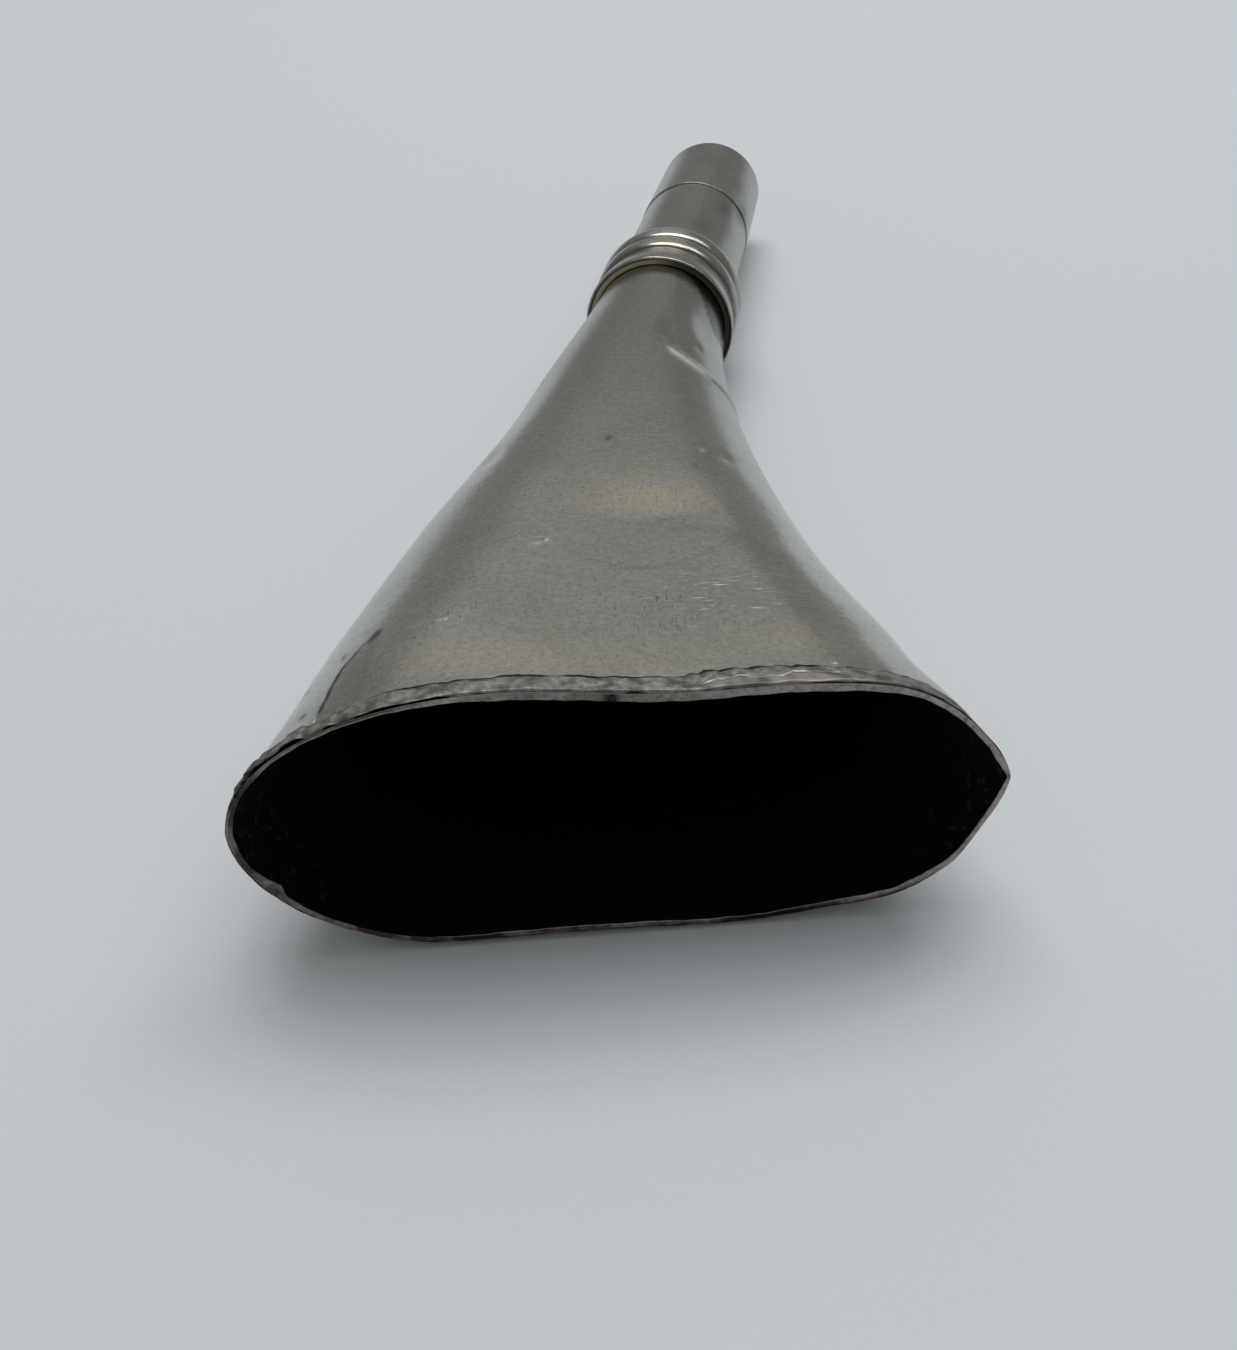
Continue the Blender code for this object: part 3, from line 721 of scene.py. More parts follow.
row_offsets = np.zeros_like(row_angles)
row_offsets[outer_bevel] = -LIP_BEVEL
row_offsets[inner_bevel] = LIP_BEVEL - SHEET - lip_extra[inner_bevel]
row_offsets[first_inside:] = -SHEET - lip_extra[first_inside:]
sheet_points, sheet_across = bell_points(row_stations, row_angles, row_offsets)
thickness = (SHEET + lip_extra) / MM
print("lip thickness, mm:", round(thickness.min(), 2), "to", round(thickness.max(), 2))

# %% Skin of rows and columns
SHARP_EDGE = math.radians(40)


def skin(name, points, finishes, matrix, row_slots):
    """A closed skin, laid down by a matrix: each row is a ring, and the last row joins the first.
    Blender then turns all its faces outwards, whichever way round the rows were drawn."""
    row_count, column_count = points.shape[:2]
    row, column = np.meshgrid(np.arange(row_count), np.arange(column_count), indexing="ij")
    next_row, next_column = (row + 1) % row_count, (column + 1) % column_count
    corners = [row * column_count + column, next_row * column_count + column,
               next_row * column_count + next_column, row * column_count + next_column]
    faces = np.stack(corners, axis=-1).reshape(-1, 4)
    mesh = bpy.data.meshes.new(name)
    mesh.from_pydata(points.reshape(-1, 3), [], faces.tolist())
    mesh.transform(matrix)
    faced = bmesh.new()
    faced.from_mesh(mesh)
    bmesh.ops.recalc_face_normals(faced, faces=faced.faces)
    faced.to_mesh(mesh)
    faced.free()
    for material in finishes:
        mesh.materials.append(material)
    mesh.polygons.foreach_set("material_index", np.repeat(row_slots, column_count).astype(np.int32))
    mesh.shade_smooth()
    mesh.set_sharp_from_angle(angle=SHARP_EDGE)
    piece = bpy.data.objects.new(name, mesh)
    bpy.context.scene.collection.objects.link(piece)
    return piece


def paint_points(piece, attribute, values):
    """A painted attribute, from 0 to 1 on each point of a piece."""
    layer = piece.data.attributes.new(attribute, "FLOAT", "POINT")
    shares = np.ascontiguousarray(np.clip(values, 0, 1), dtype=np.float32)
    layer.data.foreach_set("value", shares.ravel())


print("edges sharper than", round(math.degrees(SHARP_EDGE)), "degrees stay sharp")

# %% The bell sheet
OUTSIDE, EDGE, INSIDE = 0, 1, 2
row_slots = [OUTSIDE] * (len(outer_rows) - 1) + [EDGE] * 3 + [INSIDE] * (len(inner_rows) - 1) + [OUTSIDE]
bell_finishes = [NICKEL_SILVER, CUT_EDGE, BLACK_OXIDE]
bell_sheet = skin("bell_sheet", sheet_points, bell_finishes, HORN, np.array(row_slots))
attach(bell_sheet, "horn")
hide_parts("bell_body")
print("bell_sheet:", len(bell_sheet.data.polygons), "faces")

# %% [markdown]
# ## Wear on the sheet
# Wear sits in real places: scratches near the mouth, dirt in the crack and in the crease, a few pits, and
# old stains on the cut edge. A lighter, warmer patch lies on top. Painted light goes with the wear:
# painted highlights in small spots and along the crease, and painted shade in the crack, the fold and
# the crease, on the moved wedge, on the lower lip, by the ferrule and under the band. All of it is
# painted on the points of the mesh, so the mesh itself carries it.

# %% Warmer, scratched and pitted places
# station, across, reach along, reach across in mm, strength
# lighter, warmer places: a patch with a sharp lower edge, and softer spots near the rim
WARM_PATCH = [(33.2, 4.2, 4.6, 6.0, 0.95)]
WARM_PLACES = [
    (5.5, -10.5, 3.2, 5.0, 0.5), (4.0, 0.0, 4.5, 13.0, 0.3), (8.5, 16.5, 4.0, 5.5, 0.35),
    (8.5, -15.5, 4.0, 3.5, 0.2)]
# darker places below the warm patch
DARKER_PATCHES = [(27.7, 8.0, 1.0, 4.5, 0.1), (23.5, 1.5, 2.5, 5.0, 0.04)]
SCRATCHED = [
    (15.0, 9.5, 5.0, 6.5, 1.0), (25.0, -6.0, 2.0, 4.0, 0.5), (12.8, -13.9, 2.0, 3.0, 0.5),
    (43.4, -0.4, 0.8, 2.0, 0.6)]
NICKED = [(13.0, 4.5, 3.5, 6.0, 0.75), (14.0, -12.5, 3.0, 6.0, 0.5), (34.0, 4.0, 4.0, 6.0, 0.25)]
# painted highlights: small white spots where scratches catch the lamps
GLINTS = [
    (12.65, -13.75, 0.17, 0.17, 0.9), (12.6, -14.2, 0.15, 0.15, 0.7), (24.9, -5.4, 0.16, 0.2, 0.8),
    (24.6, -6.3, 0.15, 0.5, 0.5), (3.65, 17.5, 0.2, 0.25, 0.9), (13.2, 12.6, 0.15, 0.7, 0.4),
    (44.9, 8.9, 0.4, 0.3, 0.4)]
PITS = [
    (46.1, -0.4, 0.45, 0.35, 0.95), (13.6, -19.75, 0.7, 0.3, 1.0), (12.8, -20.2, 0.6, 0.25, 0.7),
    (11.9, -22.55, 0.5, 0.2, 1.0), (9.5, -25.6, 0.9, 0.3, 0.9), (9.9, -26.8, 0.7, 0.4, 0.65),
    (8.2, -27.4, 0.6, 0.4, 0.65), (4.4, -25.3, 0.4, 0.3, 1.0), (41.0, 8.2, 0.4, 0.3, 0.4)]
along = row_stations / MM
across = sheet_across / MM
degrees = np.degrees(row_angles)
outside = row_offsets == 0.0
upper = (sheet_points[..., 2] > 0) & outside


def patches(spots, along, across):
    """The sum of soft spots, each with its place, reach and strength."""
    total = np.zeros_like(across)
    for station, place, reach_along, reach_across, strength in spots:
        total += strength * spot(along, across, station, place, reach_along, reach_across)
    return total


def lit_points(spots):
    """Painted highlights finer than the mesh: each one lights at least the nearest point of the sheet."""
    total = np.zeros_like(across)
    for station, place, reach_along, reach_across, strength in spots:
        away = ((along - station) / reach_along) ** 2 + ((across - place) / reach_across) ** 2
        total += strength * np.exp(away[upper].min() - away)
    return total


print("points on the upper side:", int(upper.sum()))

# %% Dirt, painted shade and painted highlights in the crack, the fold and the crease
CRACK_WIDTH = 0.23
# dirt and painted shadow in the crack, along the lapped edge
CRACK_DIRT_AND_SHADE = 1.3
# size and height of the crack's small turns, in mm, and which part of the noise they are taken from
CRACK_RAGGED = (1.1, 0.22, 3.5)
# painted shade: the moved wedge is painted a little darker
WEDGE_SHADE = 0.11
# painted shade: a faint dark line along the fold on top
FOLD_SHADE = 0.2
FOLD_SHADE_WIDTH = 0.28
FOLD_SHADE_REACH = 6.5
# dirt and painted shade: a dark line along the crease on the flank
CREASE_DIRT_AND_SHADE = 0.8
# angles round the neck in degrees, half width and distance in front of the crest in mm
CREASE_SHADE_LINE = (8.0, 46.0, 0.6, 0.9)
# painted highlight along the crease's fold
CREASE_HIGHLIGHT_LINE = (43.0, 75.0, 1.25, 0.55)
# angle round the neck, and the station from which old grease covers it there; on the right it is also painted
# shade beside the ferrule
GREASE_LINE = [
    (-50.0, 99.0), (-32.0, 94.0), (-16.0, 89.0), (0.0, 86.5), (18.0, 85.3), (26.7, 85.4), (36.3, 87.7),
    (44.2, 90.1), (51.7, 92.1), (62.0, 93.4), (75.0, 95.5), (90.0, 99.0)]
GREASE_DIRT_AND_SHADE = 0.85
# stations between which the sheet is painted black as shade under the band's front, in mm
SHADE_UNDER_BAND = (0.3, 1.6)


def along_crest(span):
    """A line in front of the crease's crest, from 0 to 1, fading at its ends."""
    start, end, half_width, in_front = span
    line = around(along - crease_line(degrees), -in_front, half_width)
    return line * past(degrees, start, 9) * past(degrees, end, -5)


crack_line = crack_across(along)
on_wedge = past(across, crack_line, 0.1) * fade((wedge_edge(along) - across) / 0.5 + 0.5) * (across < 0)
on_wedge = on_wedge * past(along, CRACK_TIP[0], -1.5) * past(along, 2.2, 1.0)
turn_size, turn_height, turn_seed = CRACK_RAGGED
crack_turns = [[noise.noise(Vector((station / turn_size, turn_seed, 0.0)))] for station in along[:, 0]]
on_crack = around(across - crack_line, turn_height * np.array(crack_turns), CRACK_WIDTH)
on_crack = on_crack * past(along, CRACK_FOOT[0], 1.2) * past(along, CRACK_TIP[0], -0.6)
from_fold = (along - fold_line(across)) / FOLD_SHADE_WIDTH
fold_shade_line = np.exp(-from_fold ** 2 - ((across - FOLD[1]) / FOLD_SHADE_REACH) ** 4)
from_seam = (degrees + 180) % 360 - 180
grease_start = np.interp(from_seam, *zip(*GREASE_LINE))
greasy_neck_and_shade = GREASE_DIRT_AND_SHADE * fade((along - grease_start) / 1.2 + 0.3)
# dark paint on the sheet: pits and darker places; dirt and painted shade in the crack, the crease and on the
# neck by the ferrule; painted shade along the fold, on the wedge and under the band
grime_and_shade = patches(PITS + DARKER_PATCHES, along, across) + FOLD_SHADE * fold_shade_line + WEDGE_SHADE * on_wedge
grime_and_shade = grime_and_shade + CRACK_DIRT_AND_SHADE * on_crack + CREASE_DIRT_AND_SHADE * along_crest(CREASE_SHADE_LINE)
grime_and_shade = grime_and_shade * upper + greasy_neck_and_shade * outside
grime_and_shade[outside & (along < SHADE_UNDER_BAND[1]) & (along > SHADE_UNDER_BAND[0])] = 1.0
print("dirty points:", int((grime_and_shade > 0.1).sum()))

# %% Stain the cut edge, and paint shade on its lower side
EDGE_DIRT_TOP = 0.2
EDGE_DIRT_AND_SHADE_LOW = 0.95
EDGE_DIRT_LEFT = 1.2
EDGE_DIRT_MOST_LEFT = 0.86
EDGE_DIRT_MIDDLE = 0.35
EDGE_CLEAN_RIGHT = 0.75
EDGE_SHADE_RIGHT = 1.0
# place across and half width in mm, strength
RUST_SPOT = (-0.7, 0.45, 1.3)
# middle and reach of the stains on the lip: places across in mm, or angles round the mouth in degrees
LEFT_STAIN_ANGLE = (172.0, 26.0)
LUMP_STAIN_ANGLE = (LUMP_ANGLE, 9.0)
MIDDLE_STAIN = (-3.0, 12.0)
UPPER_LEFT_STAIN = (-22.0, 5.0)
# places across from which the stain changes, and over what reach, in mm
CLEAN_RIGHT_FROM = (14.0, 10.0)
LEFT_END_FROM = (-13.0, -5.0)
SHADE_FROM = (-2.0, 8.0)
SHADE_UP_TO = (27.0, -5.0)
SHADE_PAST_ANGLE = 200.0
edge_side = across[outer_bevel]
edge_round = degrees[outer_bevel]
edge_height = np.sin(np.radians(edge_round))
on_upper_lip = edge_round < 180
left_end = past(edge_side, *LEFT_END_FROM)
# darker towards the bottom: dirt, and painted shade on the lower lip
edge_dirt_and_shade = EDGE_DIRT_AND_SHADE_LOW + (EDGE_DIRT_TOP - EDGE_DIRT_AND_SHADE_LOW) * past(edge_height, -0.2, 0.4)
edge_dirt_and_shade -= EDGE_CLEAN_RIGHT * past(edge_side, *CLEAN_RIGHT_FROM) * (edge_round > 180)
edge_dirt_and_shade += EDGE_DIRT_LEFT * around(edge_round, *LEFT_STAIN_ANGLE)
edge_dirt_and_shade += around(edge_round, *LUMP_STAIN_ANGLE)
edge_dirt_and_shade -= left_end * np.maximum(edge_dirt_and_shade - EDGE_DIRT_MOST_LEFT, 0)
edge_dirt_and_shade += EDGE_DIRT_MIDDLE * around(edge_side, *MIDDLE_STAIN) * on_upper_lip
edge_dirt_and_shade += RUST_SPOT[2] * around(edge_side, RUST_SPOT[0], RUST_SPOT[1]) * on_upper_lip
low_right = past(edge_side, *SHADE_FROM) * (edge_round > SHADE_PAST_ANGLE) * past(edge_side, *SHADE_UP_TO)
grime_and_shade[outer_bevel] = edge_dirt_and_shade + past(edge_height, 0.1, 0.2) * around(edge_side, *UPPER_LEFT_STAIN)
grime_and_shade[outer_bevel] += EDGE_SHADE_RIGHT * low_right
grime_and_shade[inner_bevel] = edge_dirt_and_shade
grime_and_shade[first_inside] = edge_dirt_and_shade * left_end
print("stained edge points:", len(edge_round))

# %% Paint the sheet
# across and station of the warm patch's sharp lower edge, and how sharp it is, in mm
WARM_PATCH_EDGE = [(-4.0, 29.9), (2.8, 28.4), (11.2, 31.4)]
WARM_PATCH_EDGE_WIDTH = 0.8
HAIRS_ALL_OVER = 0.12
NICKS_ALL_OVER = 0.1
# strength of the painted highlight along the crease
CREASE_HIGHLIGHT = 0.6
# station at which the sheet starts to be much handled, and over what length, in mm
HANDLED = (25.0, 60.0)
# the black flakes at both ends of the mouth: from how far across, over what width, and how deep, in mm
FLAKED = (22.0, 5.0, 7.0)
in_patch = fade((along - np.interp(across, *zip(*WARM_PATCH_EDGE))) / WARM_PATCH_EDGE_WIDTH)
warm_places = patches(WARM_PATCH, along, across) * in_patch + patches(WARM_PLACES, along, across)
sheet_paint = {
    "warm": warm_places * upper,
    "hairs": (HAIRS_ALL_OVER + patches(SCRATCHED, along, across)) * upper,
    "glint": (lit_points(GLINTS) + CREASE_HIGHLIGHT * along_crest(CREASE_HIGHLIGHT_LINE)) * upper,
    "nicks": (NICKS_ALL_OVER + patches(NICKED, along, across)) * upper,
    "dull": np.broadcast_to(past(along, *HANDLED), across.shape),
    "grime_and_shade": grime_and_shade,
    "flaked": past(np.abs(across), FLAKED[0], FLAKED[1]) * around(along, 0.0, FLAKED[2]),
}
for attribute, values in sheet_paint.items():
    paint_points(bell_sheet, attribute, values)
print("painted on the sheet:", ", ".join(sheet_paint))

# %% [markdown]
# ## Soft solder round the mouth
# The rim was tinned and a thin strip sweated on, so the mouth wears a band of soft solder: grey, dull and
# lumpy where it set, and bright only where it ran. Its upper edge is ragged and lined with dark flux and
# painted shadow, its lower edge has come away from the sheet here and there, and a bright run crosses it
# on the right. Painted shade darkens the gaps under it, its underside and the foot of the run, and dirt
# and painted shade darken its lower part. Bump alone would leave its edges smooth, so it is a skin with a
# closed section whose edges wander.

# %% Soft solder, dull and lumpy
LUMP = 0.7 * MM
GRAIN = 0.25 * MM
LUMP_DEPTH = 0.06 * MM


def make_solder():
    material, tree, shader, place = start_material("soft_solder_dull")
    lumps = add_node(
        tree, "TexNoise", {"Scale": 1 / LUMP, "Detail": 4.0, "Roughness": 0.65}, {"Vector": place})
    grains = add_node(tree, "TexNoise", {"Scale": 1 / GRAIN, "Detail": 2.0}, {"Vector": place})
    share = add_node(tree, "MapRange", {"From Min": 0.35, "From Max": 0.7}, {"Value": lumps.outputs["Fac"]})
    colour = add_node(
        tree, "Mix", {"data_type": "RGBA", 6: linear("#a2a49e"), 7: linear("#656661")},
        {0: share.outputs["Result"]})
    # grime here is dirt, and painted shade in the band's gaps and along its edges
    for name, tint in (("bare", "#9a9793"), ("bright", "#e4e4e1"), ("grime_and_shade", "#221c17")):
        paint = add_node(tree, "Attribute", {"attribute_name": name})
        colour = add_node(
            tree, "Mix", {"data_type": "RGBA", 7: linear(tint)},
            {0: paint.outputs["Fac"], 6: colour.outputs[2]})
    height = add_node(
        tree, "Mix", {"data_type": "FLOAT", 0: 0.4}, {2: lumps.outputs["Fac"], 3: grains.outputs["Fac"]})
    bump = add_node(tree, "Bump", {"Strength": 0.5, "Distance": LUMP_DEPTH}, {"Height": height.outputs[0]})
    set_node(tree, shader, {"Metallic": 1.0, "Roughness": 0.58}, {
        "Base Color": colour.outputs[2], "Normal": bump.outputs["Normal"]})
    return material


SOLDER = make_solder()
print("made", SOLDER.name)

# %% The band's wandering edges
# stations, places across, heights and reaches are in mm
BAND_COLUMNS = 1000
BAND_FRONT = 0.08
BAND_BACK = 2.3
TOP_FADE = 4.0
WIDER_RIGHT = 0.8
WIDER_PLACE = (13.0, 7.5)
WORN_LEFT = 0.5
WORN_FROM = (-19.5, -4.0)
RAGGED = 0.05
RAGGED_RIGHT = 0.1
RAGGED_FROM = (2.0, 6.0)
# height and feature size of each wandering, and the part of the noise that it is taken from
BACK_WANDERS = [(0.1, 7.0, 1.5), (0.09, 1.0, 4.5)]
FRONT_WANDERS = [(0.06, 3.0, 7.5), (0.04, 0.8, 9.5)]
band_shares = np.linspace(0.0, 1.0, BAND_COLUMNS, endpoint=False)
band_angles = even_angles(0.0, band_shares)
band_degrees = np.degrees(band_angles)
lip_across, lip_height = (values / MM for values in section(np.array(0.0), band_angles, 0.0))
on_top = fade(lip_height / TOP_FADE)
back = BAND_BACK + WIDER_RIGHT * on_top * around(lip_across, *WIDER_PLACE)
back -= WORN_LEFT * on_top * past(lip_across, *WORN_FROM)
for height, size, seed in BACK_WANDERS:
    back += height * wander(band_shares, size, seed)
ragged_right = on_top * past(lip_across, *RAGGED_FROM)
back += (RAGGED + RAGGED_RIGHT * ragged_right) * wander(band_shares, 0.55, 5.5)
front = np.full(BAND_COLUMNS, BAND_FRONT)
for height, size, seed in FRONT_WANDERS:
    front += height * np.clip(wander(band_shares, size, seed), 0, 1)
print("band from", round(front.min(), 2), "to", round(back.max(), 2), "mm behind the mouth")

# %% Where the band is loose, thin or lumpy
# heights, places across and reaches are in mm
BAND_OUT = 0.315
BAND_UNEVEN = 0.05
LEAST_GAP = 0.012
MOST_GAP = 0.34
SMALL_GAPS = 0.07
LOOSE_GAP = 0.36
LOOSE_PLACE = (-24.0, 5.5)
LEFT_GAPS = 0.16
LEFT_GAPS_PLACE = (-14.0, 4.0)
RIGHT_GAP = 0.05
RIGHT_GAP_FROM = (12.0, 6.0)
THINNER_RIGHT = 0.23
THINNER_FROM = (25.0, 5.0)
FLUX_FROM = (-21.0, 2.0)
FLUX_UP_TO = (31.0, -3.0)
# angle round the rim in degrees, height in mm, of lumps at the left end
LUMPS = [(145.5, 0.14), (150.5, 0.3), (156.5, 0.22)]
LUMP_WIDTH = 1.7
# degrees from a lump's middle to the dirt round it, the dirt's half width, and its strength
LUMP_DIRT = (2.7, 0.6, 0.6)
loose = on_top * around(lip_across, *LOOSE_PLACE)
gap = LEAST_GAP + SMALL_GAPS * np.clip(wander(band_shares, 2.2, 12.5) - 0.2, 0, 1)
gap += LOOSE_GAP * loose * (0.65 + 0.7 * wander(band_shares, 1.2, 13.5))
left_gaps = LEFT_GAPS * around(lip_across, *LEFT_GAPS_PLACE) * on_top
gap += left_gaps * np.clip(wander(band_shares, 1.6, 14.5), 0, 1)
gap += RIGHT_GAP * on_top * past(lip_across, *RIGHT_GAP_FROM)
gap = np.clip(gap, LEAST_GAP, MOST_GAP)
top = BAND_OUT - BAND_UNEVEN - THINNER_RIGHT * past(lip_across, *THINNER_FROM)
top += BAND_UNEVEN * np.clip(wander(band_shares, 2.0, 15.5), -1, 1)
top = np.maximum(top, gap + 0.02 + 0.1 * loose)
lump_dirt = 0 * top
for angle, height in LUMPS:
    from_lump = np.abs(band_degrees - angle)
    top += height * around(from_lump, 0.0, LUMP_WIDTH)
    lump_dirt += LUMP_DIRT[2] * around(from_lump, LUMP_DIRT[0], LUMP_DIRT[1])
# the dark line along the band's top edge: flux and painted shadow
flux_and_shadow_line = on_top * past(lip_across, *FLUX_FROM) * past(lip_across, *FLUX_UP_TO)
flux_and_shadow_line = flux_and_shadow_line * np.clip(0.8 + 0.5 * wander(band_shares, 1.7, 17.5), 0.3, 1.0)
print("widest gap under the band:", round(gap.max(), 2), "mm")

# %% A run of bright solder on the band
# across and station of the run, in mm
RUN = [
    (6.6, 0.9), (7.0, 1.07), (9.4, 1.5), (11.2, 1.3), (13.1, 1.1), (14.1, 1.9), (16.0, 1.6), (17.5, 1.4),
    (18.2, 0.5)]
RUN_HEIGHT = 0.09
RUN_HALF_WIDTH = 0.1
RUN_FADE = 0.6
# distance of the painted shadow in front of the run in mm, and its strength
RUN_SHADOW = (0.2, 0.8)
BARE_END = 26.5
run_start, run_end = RUN[0][0], RUN[-1][0]
run_middle = np.interp(lip_across, *zip(*RUN)) + 0.14 * wander(band_shares, 0.6, 31.5)
run_window = on_top * past(lip_across, run_start, RUN_FADE) * past(lip_across, run_end, -RUN_FADE)
run_window = run_window * np.clip(0.9 + 0.8 * wander(band_shares, 1.2, 33.5), 0.3, 1.0)


def solder_run(stations):
    """The run, its painted shadow and the bare metal in front of it, each from 0 to 1, on the band's columns.
    """
    from_run = stations - run_middle
    run = run_window * around(from_run, 0.0, RUN_HALF_WIDTH)
    run_shadow = RUN_SHADOW[1] * run_window * around(from_run, -RUN_SHADOW[0], RUN_HALF_WIDTH)
    right = on_top * past(lip_across, run_start, 3) * past(lip_across, BARE_END, -4)
    mottled = np.clip(0.5 + 0.6 * wander(band_shares, 2.2, 35.5 + stations.mean()), 0.1, 0.9)
    bare = right * np.where(lip_across < run_end, past(from_run, 0.0, -0.2), mottled)
    return run, run_shadow, bare


print("solder run of", round(run_end - run_start, 1), "mm")

# %% Dirt and painted shade on the band
# the band is darker towards the bottom: dirt and painted shade
LOW_DIRT_AND_SHADE = 0.75
LOW_DIRT_AND_SHADE_UP_TO = (1.0, -4.0)
LEFT_DIRT = 0.45
LEFT_DIRT_ANGLE = (158.0, 14.0)
RIGHT_DIRT = 0.18
RIGHT_DIRT_FROM = (20.0, 5.0)
FLUX_DIRT_AND_SHADOW = 0.95
# share of the band's width behind which the flux and its painted shadow start, and over what share
FLUX_EDGE = (0.86, 0.06)
# painted shadow: a gap of this height in mm starts to be painted black, and is black when it is this much
# higher
SHADOWED_GAP = (0.02, 0.07)
low_dirt_and_shade = LOW_DIRT_AND_SHADE * past(lip_height, *LOW_DIRT_AND_SHADE_UP_TO) + LEFT_DIRT * around(band_degrees, *LEFT_DIRT_ANGLE)
shadowed_gap = np.clip((gap - SHADOWED_GAP[0]) / SHADOWED_GAP[1], 0.0, 1.0)
right_end_dirt = RIGHT_DIRT * on_top * past(lip_across, *RIGHT_DIRT_FROM)


def band_dirt(share, lift, run, run_shadow):
    """Dirt and painted shade on the ring at this share of the band's width; the run of bright solder is
    clean.
    """
    blotches = np.clip(0.12 + 0.42 * wander(band_shares, 1.2, 41.5 + 2.2 * share), 0, 0.55)
    patchy = lump_dirt + right_end_dirt + blotches
    crevice_shade = shadowed_gap * (lift == 0.0) + FLUX_DIRT_AND_SHADOW * flux_and_shadow_line * past(share, *FLUX_EDGE)
    return crevice_shade + low_dirt_and_shade + (patchy + run_shadow) * (1 - run)


print("black gaps on", int((shadowed_gap == 1).sum()), "of", BAND_COLUMNS, "columns")

# %% Rings of the band
# share of the way from the front edge to the back edge, and how far out between the gap and the top
FRONT_WALL = [(0.0, 0.0), (0.02, 0.55), (0.05, 0.9)]
FACE = [(share, 1.0 - 0.25 * share ** 3) for share in np.linspace(0.08, 0.95, 26)]
BACK_WALL = [(0.985, 0.5), (1.0, 0.2)]
BAND_GRAIN = 0.006
# width of the flux behind the band in mm, and the shares of it at which it has these heights in mm
FLUX_WIDTH = 0.32
FLUX_SLOPE = [(0.5, 0.075), (1.0, 0.04)]
none = 0 * gap
band_rings = []
band_paint = {"grime_and_shade": [], "bright": [], "bare": []}


def add_ring(stations, offsets, grime_and_shade, bright=none, bare=none):
    """One ring of the band, and what is painted on it."""
    ring = bell_points(stations[None, :] * MM, band_angles[None, :], offsets[None, :] * MM)[0]
    band_rings.append(ring[0])
    for layer, values in zip(band_paint.values(), (grime_and_shade, bright, bare)):
        layer.append(values)


for share, lift in FRONT_WALL + FACE + BACK_WALL:
    stations = front + (back - front) * share
    run, run_shadow, bare = solder_run(stations)
    rough = BAND_GRAIN * wander(band_shares, 0.9, 50.0 + 6 * share) * (lift > 0.7)
    offsets = gap + (top - gap) * lift + RUN_HEIGHT * run + rough
    add_ring(stations, offsets, band_dirt(share, lift, run, run_shadow), run, bare)
# flux and painted shadow on the film behind the band's back edge
flux = np.maximum(flux_and_shadow_line, low_dirt_and_shade)
add_ring(back + 0.02, none + 0.09, flux)
for share, height in FLUX_SLOPE:
    add_ring(back + FLUX_WIDTH * share * flux_and_shadow_line, none + height, flux)
# the band's underside, painted black as shade
add_ring(front + 0.6 * (back - front), none + LEAST_GAP, none + 1.0)
print(len(band_rings), "rings")

# %% The band
rim_solder = skin("rim_solder", np.array(band_rings), [SOLDER], HORN, np.zeros(len(band_rings)))
for attribute, layer in band_paint.items():
    paint_points(rim_solder, attribute, np.array(layer))
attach(rim_solder, "horn")
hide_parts("rim_band")
print("rim_solder:", len(rim_solder.data.polygons), "faces")

# %% [markdown]
# ## Turned pieces of the mouthpiece
# The ferrule, the barrel and the tip were turned on a lathe. A profile of radius and station, swung round
# the mouthpiece's axis, gives each one. The axis starts at the centre of the ferrule's lip. A Screw
# modifier does the same, but rows that the script lays itself can be painted one by one. Straight runs
# are cut into short steps, because long faces beside a round would bend the reflections.

# %% The mouthpiece's axis and a lathe
TURNED_COLUMNS = 160
lip_centre = on_centre_line(np.array(BELL_LENGTH), np.array(0.0), np.array(0.0))
ferrule_place = HORN @ Matrix.Translation(lip_centre) @ Matrix.Rotation(-BEND, 4, "Z")
LATHE = ferrule_place @ Matrix.Rotation(-math.pi / 2, 4, "X")


def lathe_part(name, outline, finishes, body, node, row_slots=None):
    """A closed outline of (radius, station) in mm, swung round the axis."""
    outline = np.array(outline) * MM
    angles = np.linspace(0.0, 2 * math.pi, TURNED_COLUMNS, endpoint=False)
    x = outline[:, :1] * np.cos(angles)
    y = outline[:, :1] * np.sin(angles)
    z = np.repeat(outline[:, 1:], TURNED_COLUMNS, axis=1)
    if row_slots is None:
        row_slots = np.zeros(len(outline))
    piece = skin(name, np.stack([x, y, z], axis=-1), finishes, LATHE, row_slots)
    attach(piece, body)
    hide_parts(node)
    print(name + ":", len(piece.data.polygons), "faces")
    return piece


print("lip centre, mm:", np.round(np.array(LATHE.translation) / MM, 2))

# %% Runs of an outline
END_STEP = 0.06


def between(start, end, share, blend):
    return start[0] + (end[0] - start[0]) * blend, start[1] + (end[1] - start[1]) * share


def arc(radius, station, size, start, end, steps):
    """A round about a centre, between two angles in degrees."""
    angles = np.radians(np.linspace(start, end, steps + 1))
    return [(radius + size * math.cos(angle), station + size * math.sin(angle)) for angle in angles]


def sweep(start, end, steps):
    """A smooth S-shaped run between two points of an outline."""
    places = np.linspace(0.0, 1.0, steps + 1)
    return [between(start, end, share, (1 - math.cos(math.pi * share)) / 2) for share in places]


def straight(start, end, step):
    """A straight run, cut into steps, with two short ones at its ends."""
    length = math.dist(start, end)
    places = np.linspace(0.0, 1.0, max(round(length / step), 2) + 1)
    places = np.concatenate([places, [END_STEP / length, 1 - END_STEP / length]])
    return [between(start, end, share, share) for share in np.unique(np.round(places, 6))]


def bead(station, waist, height, half_width, steps):
    angles = np.linspace(0.0, math.pi, steps + 1)
    return [(waist + height * math.sin(angle), station - half_width * math.cos(angle)) for angle in angles]


print("runs ready: arc, sweep, straight, bead")

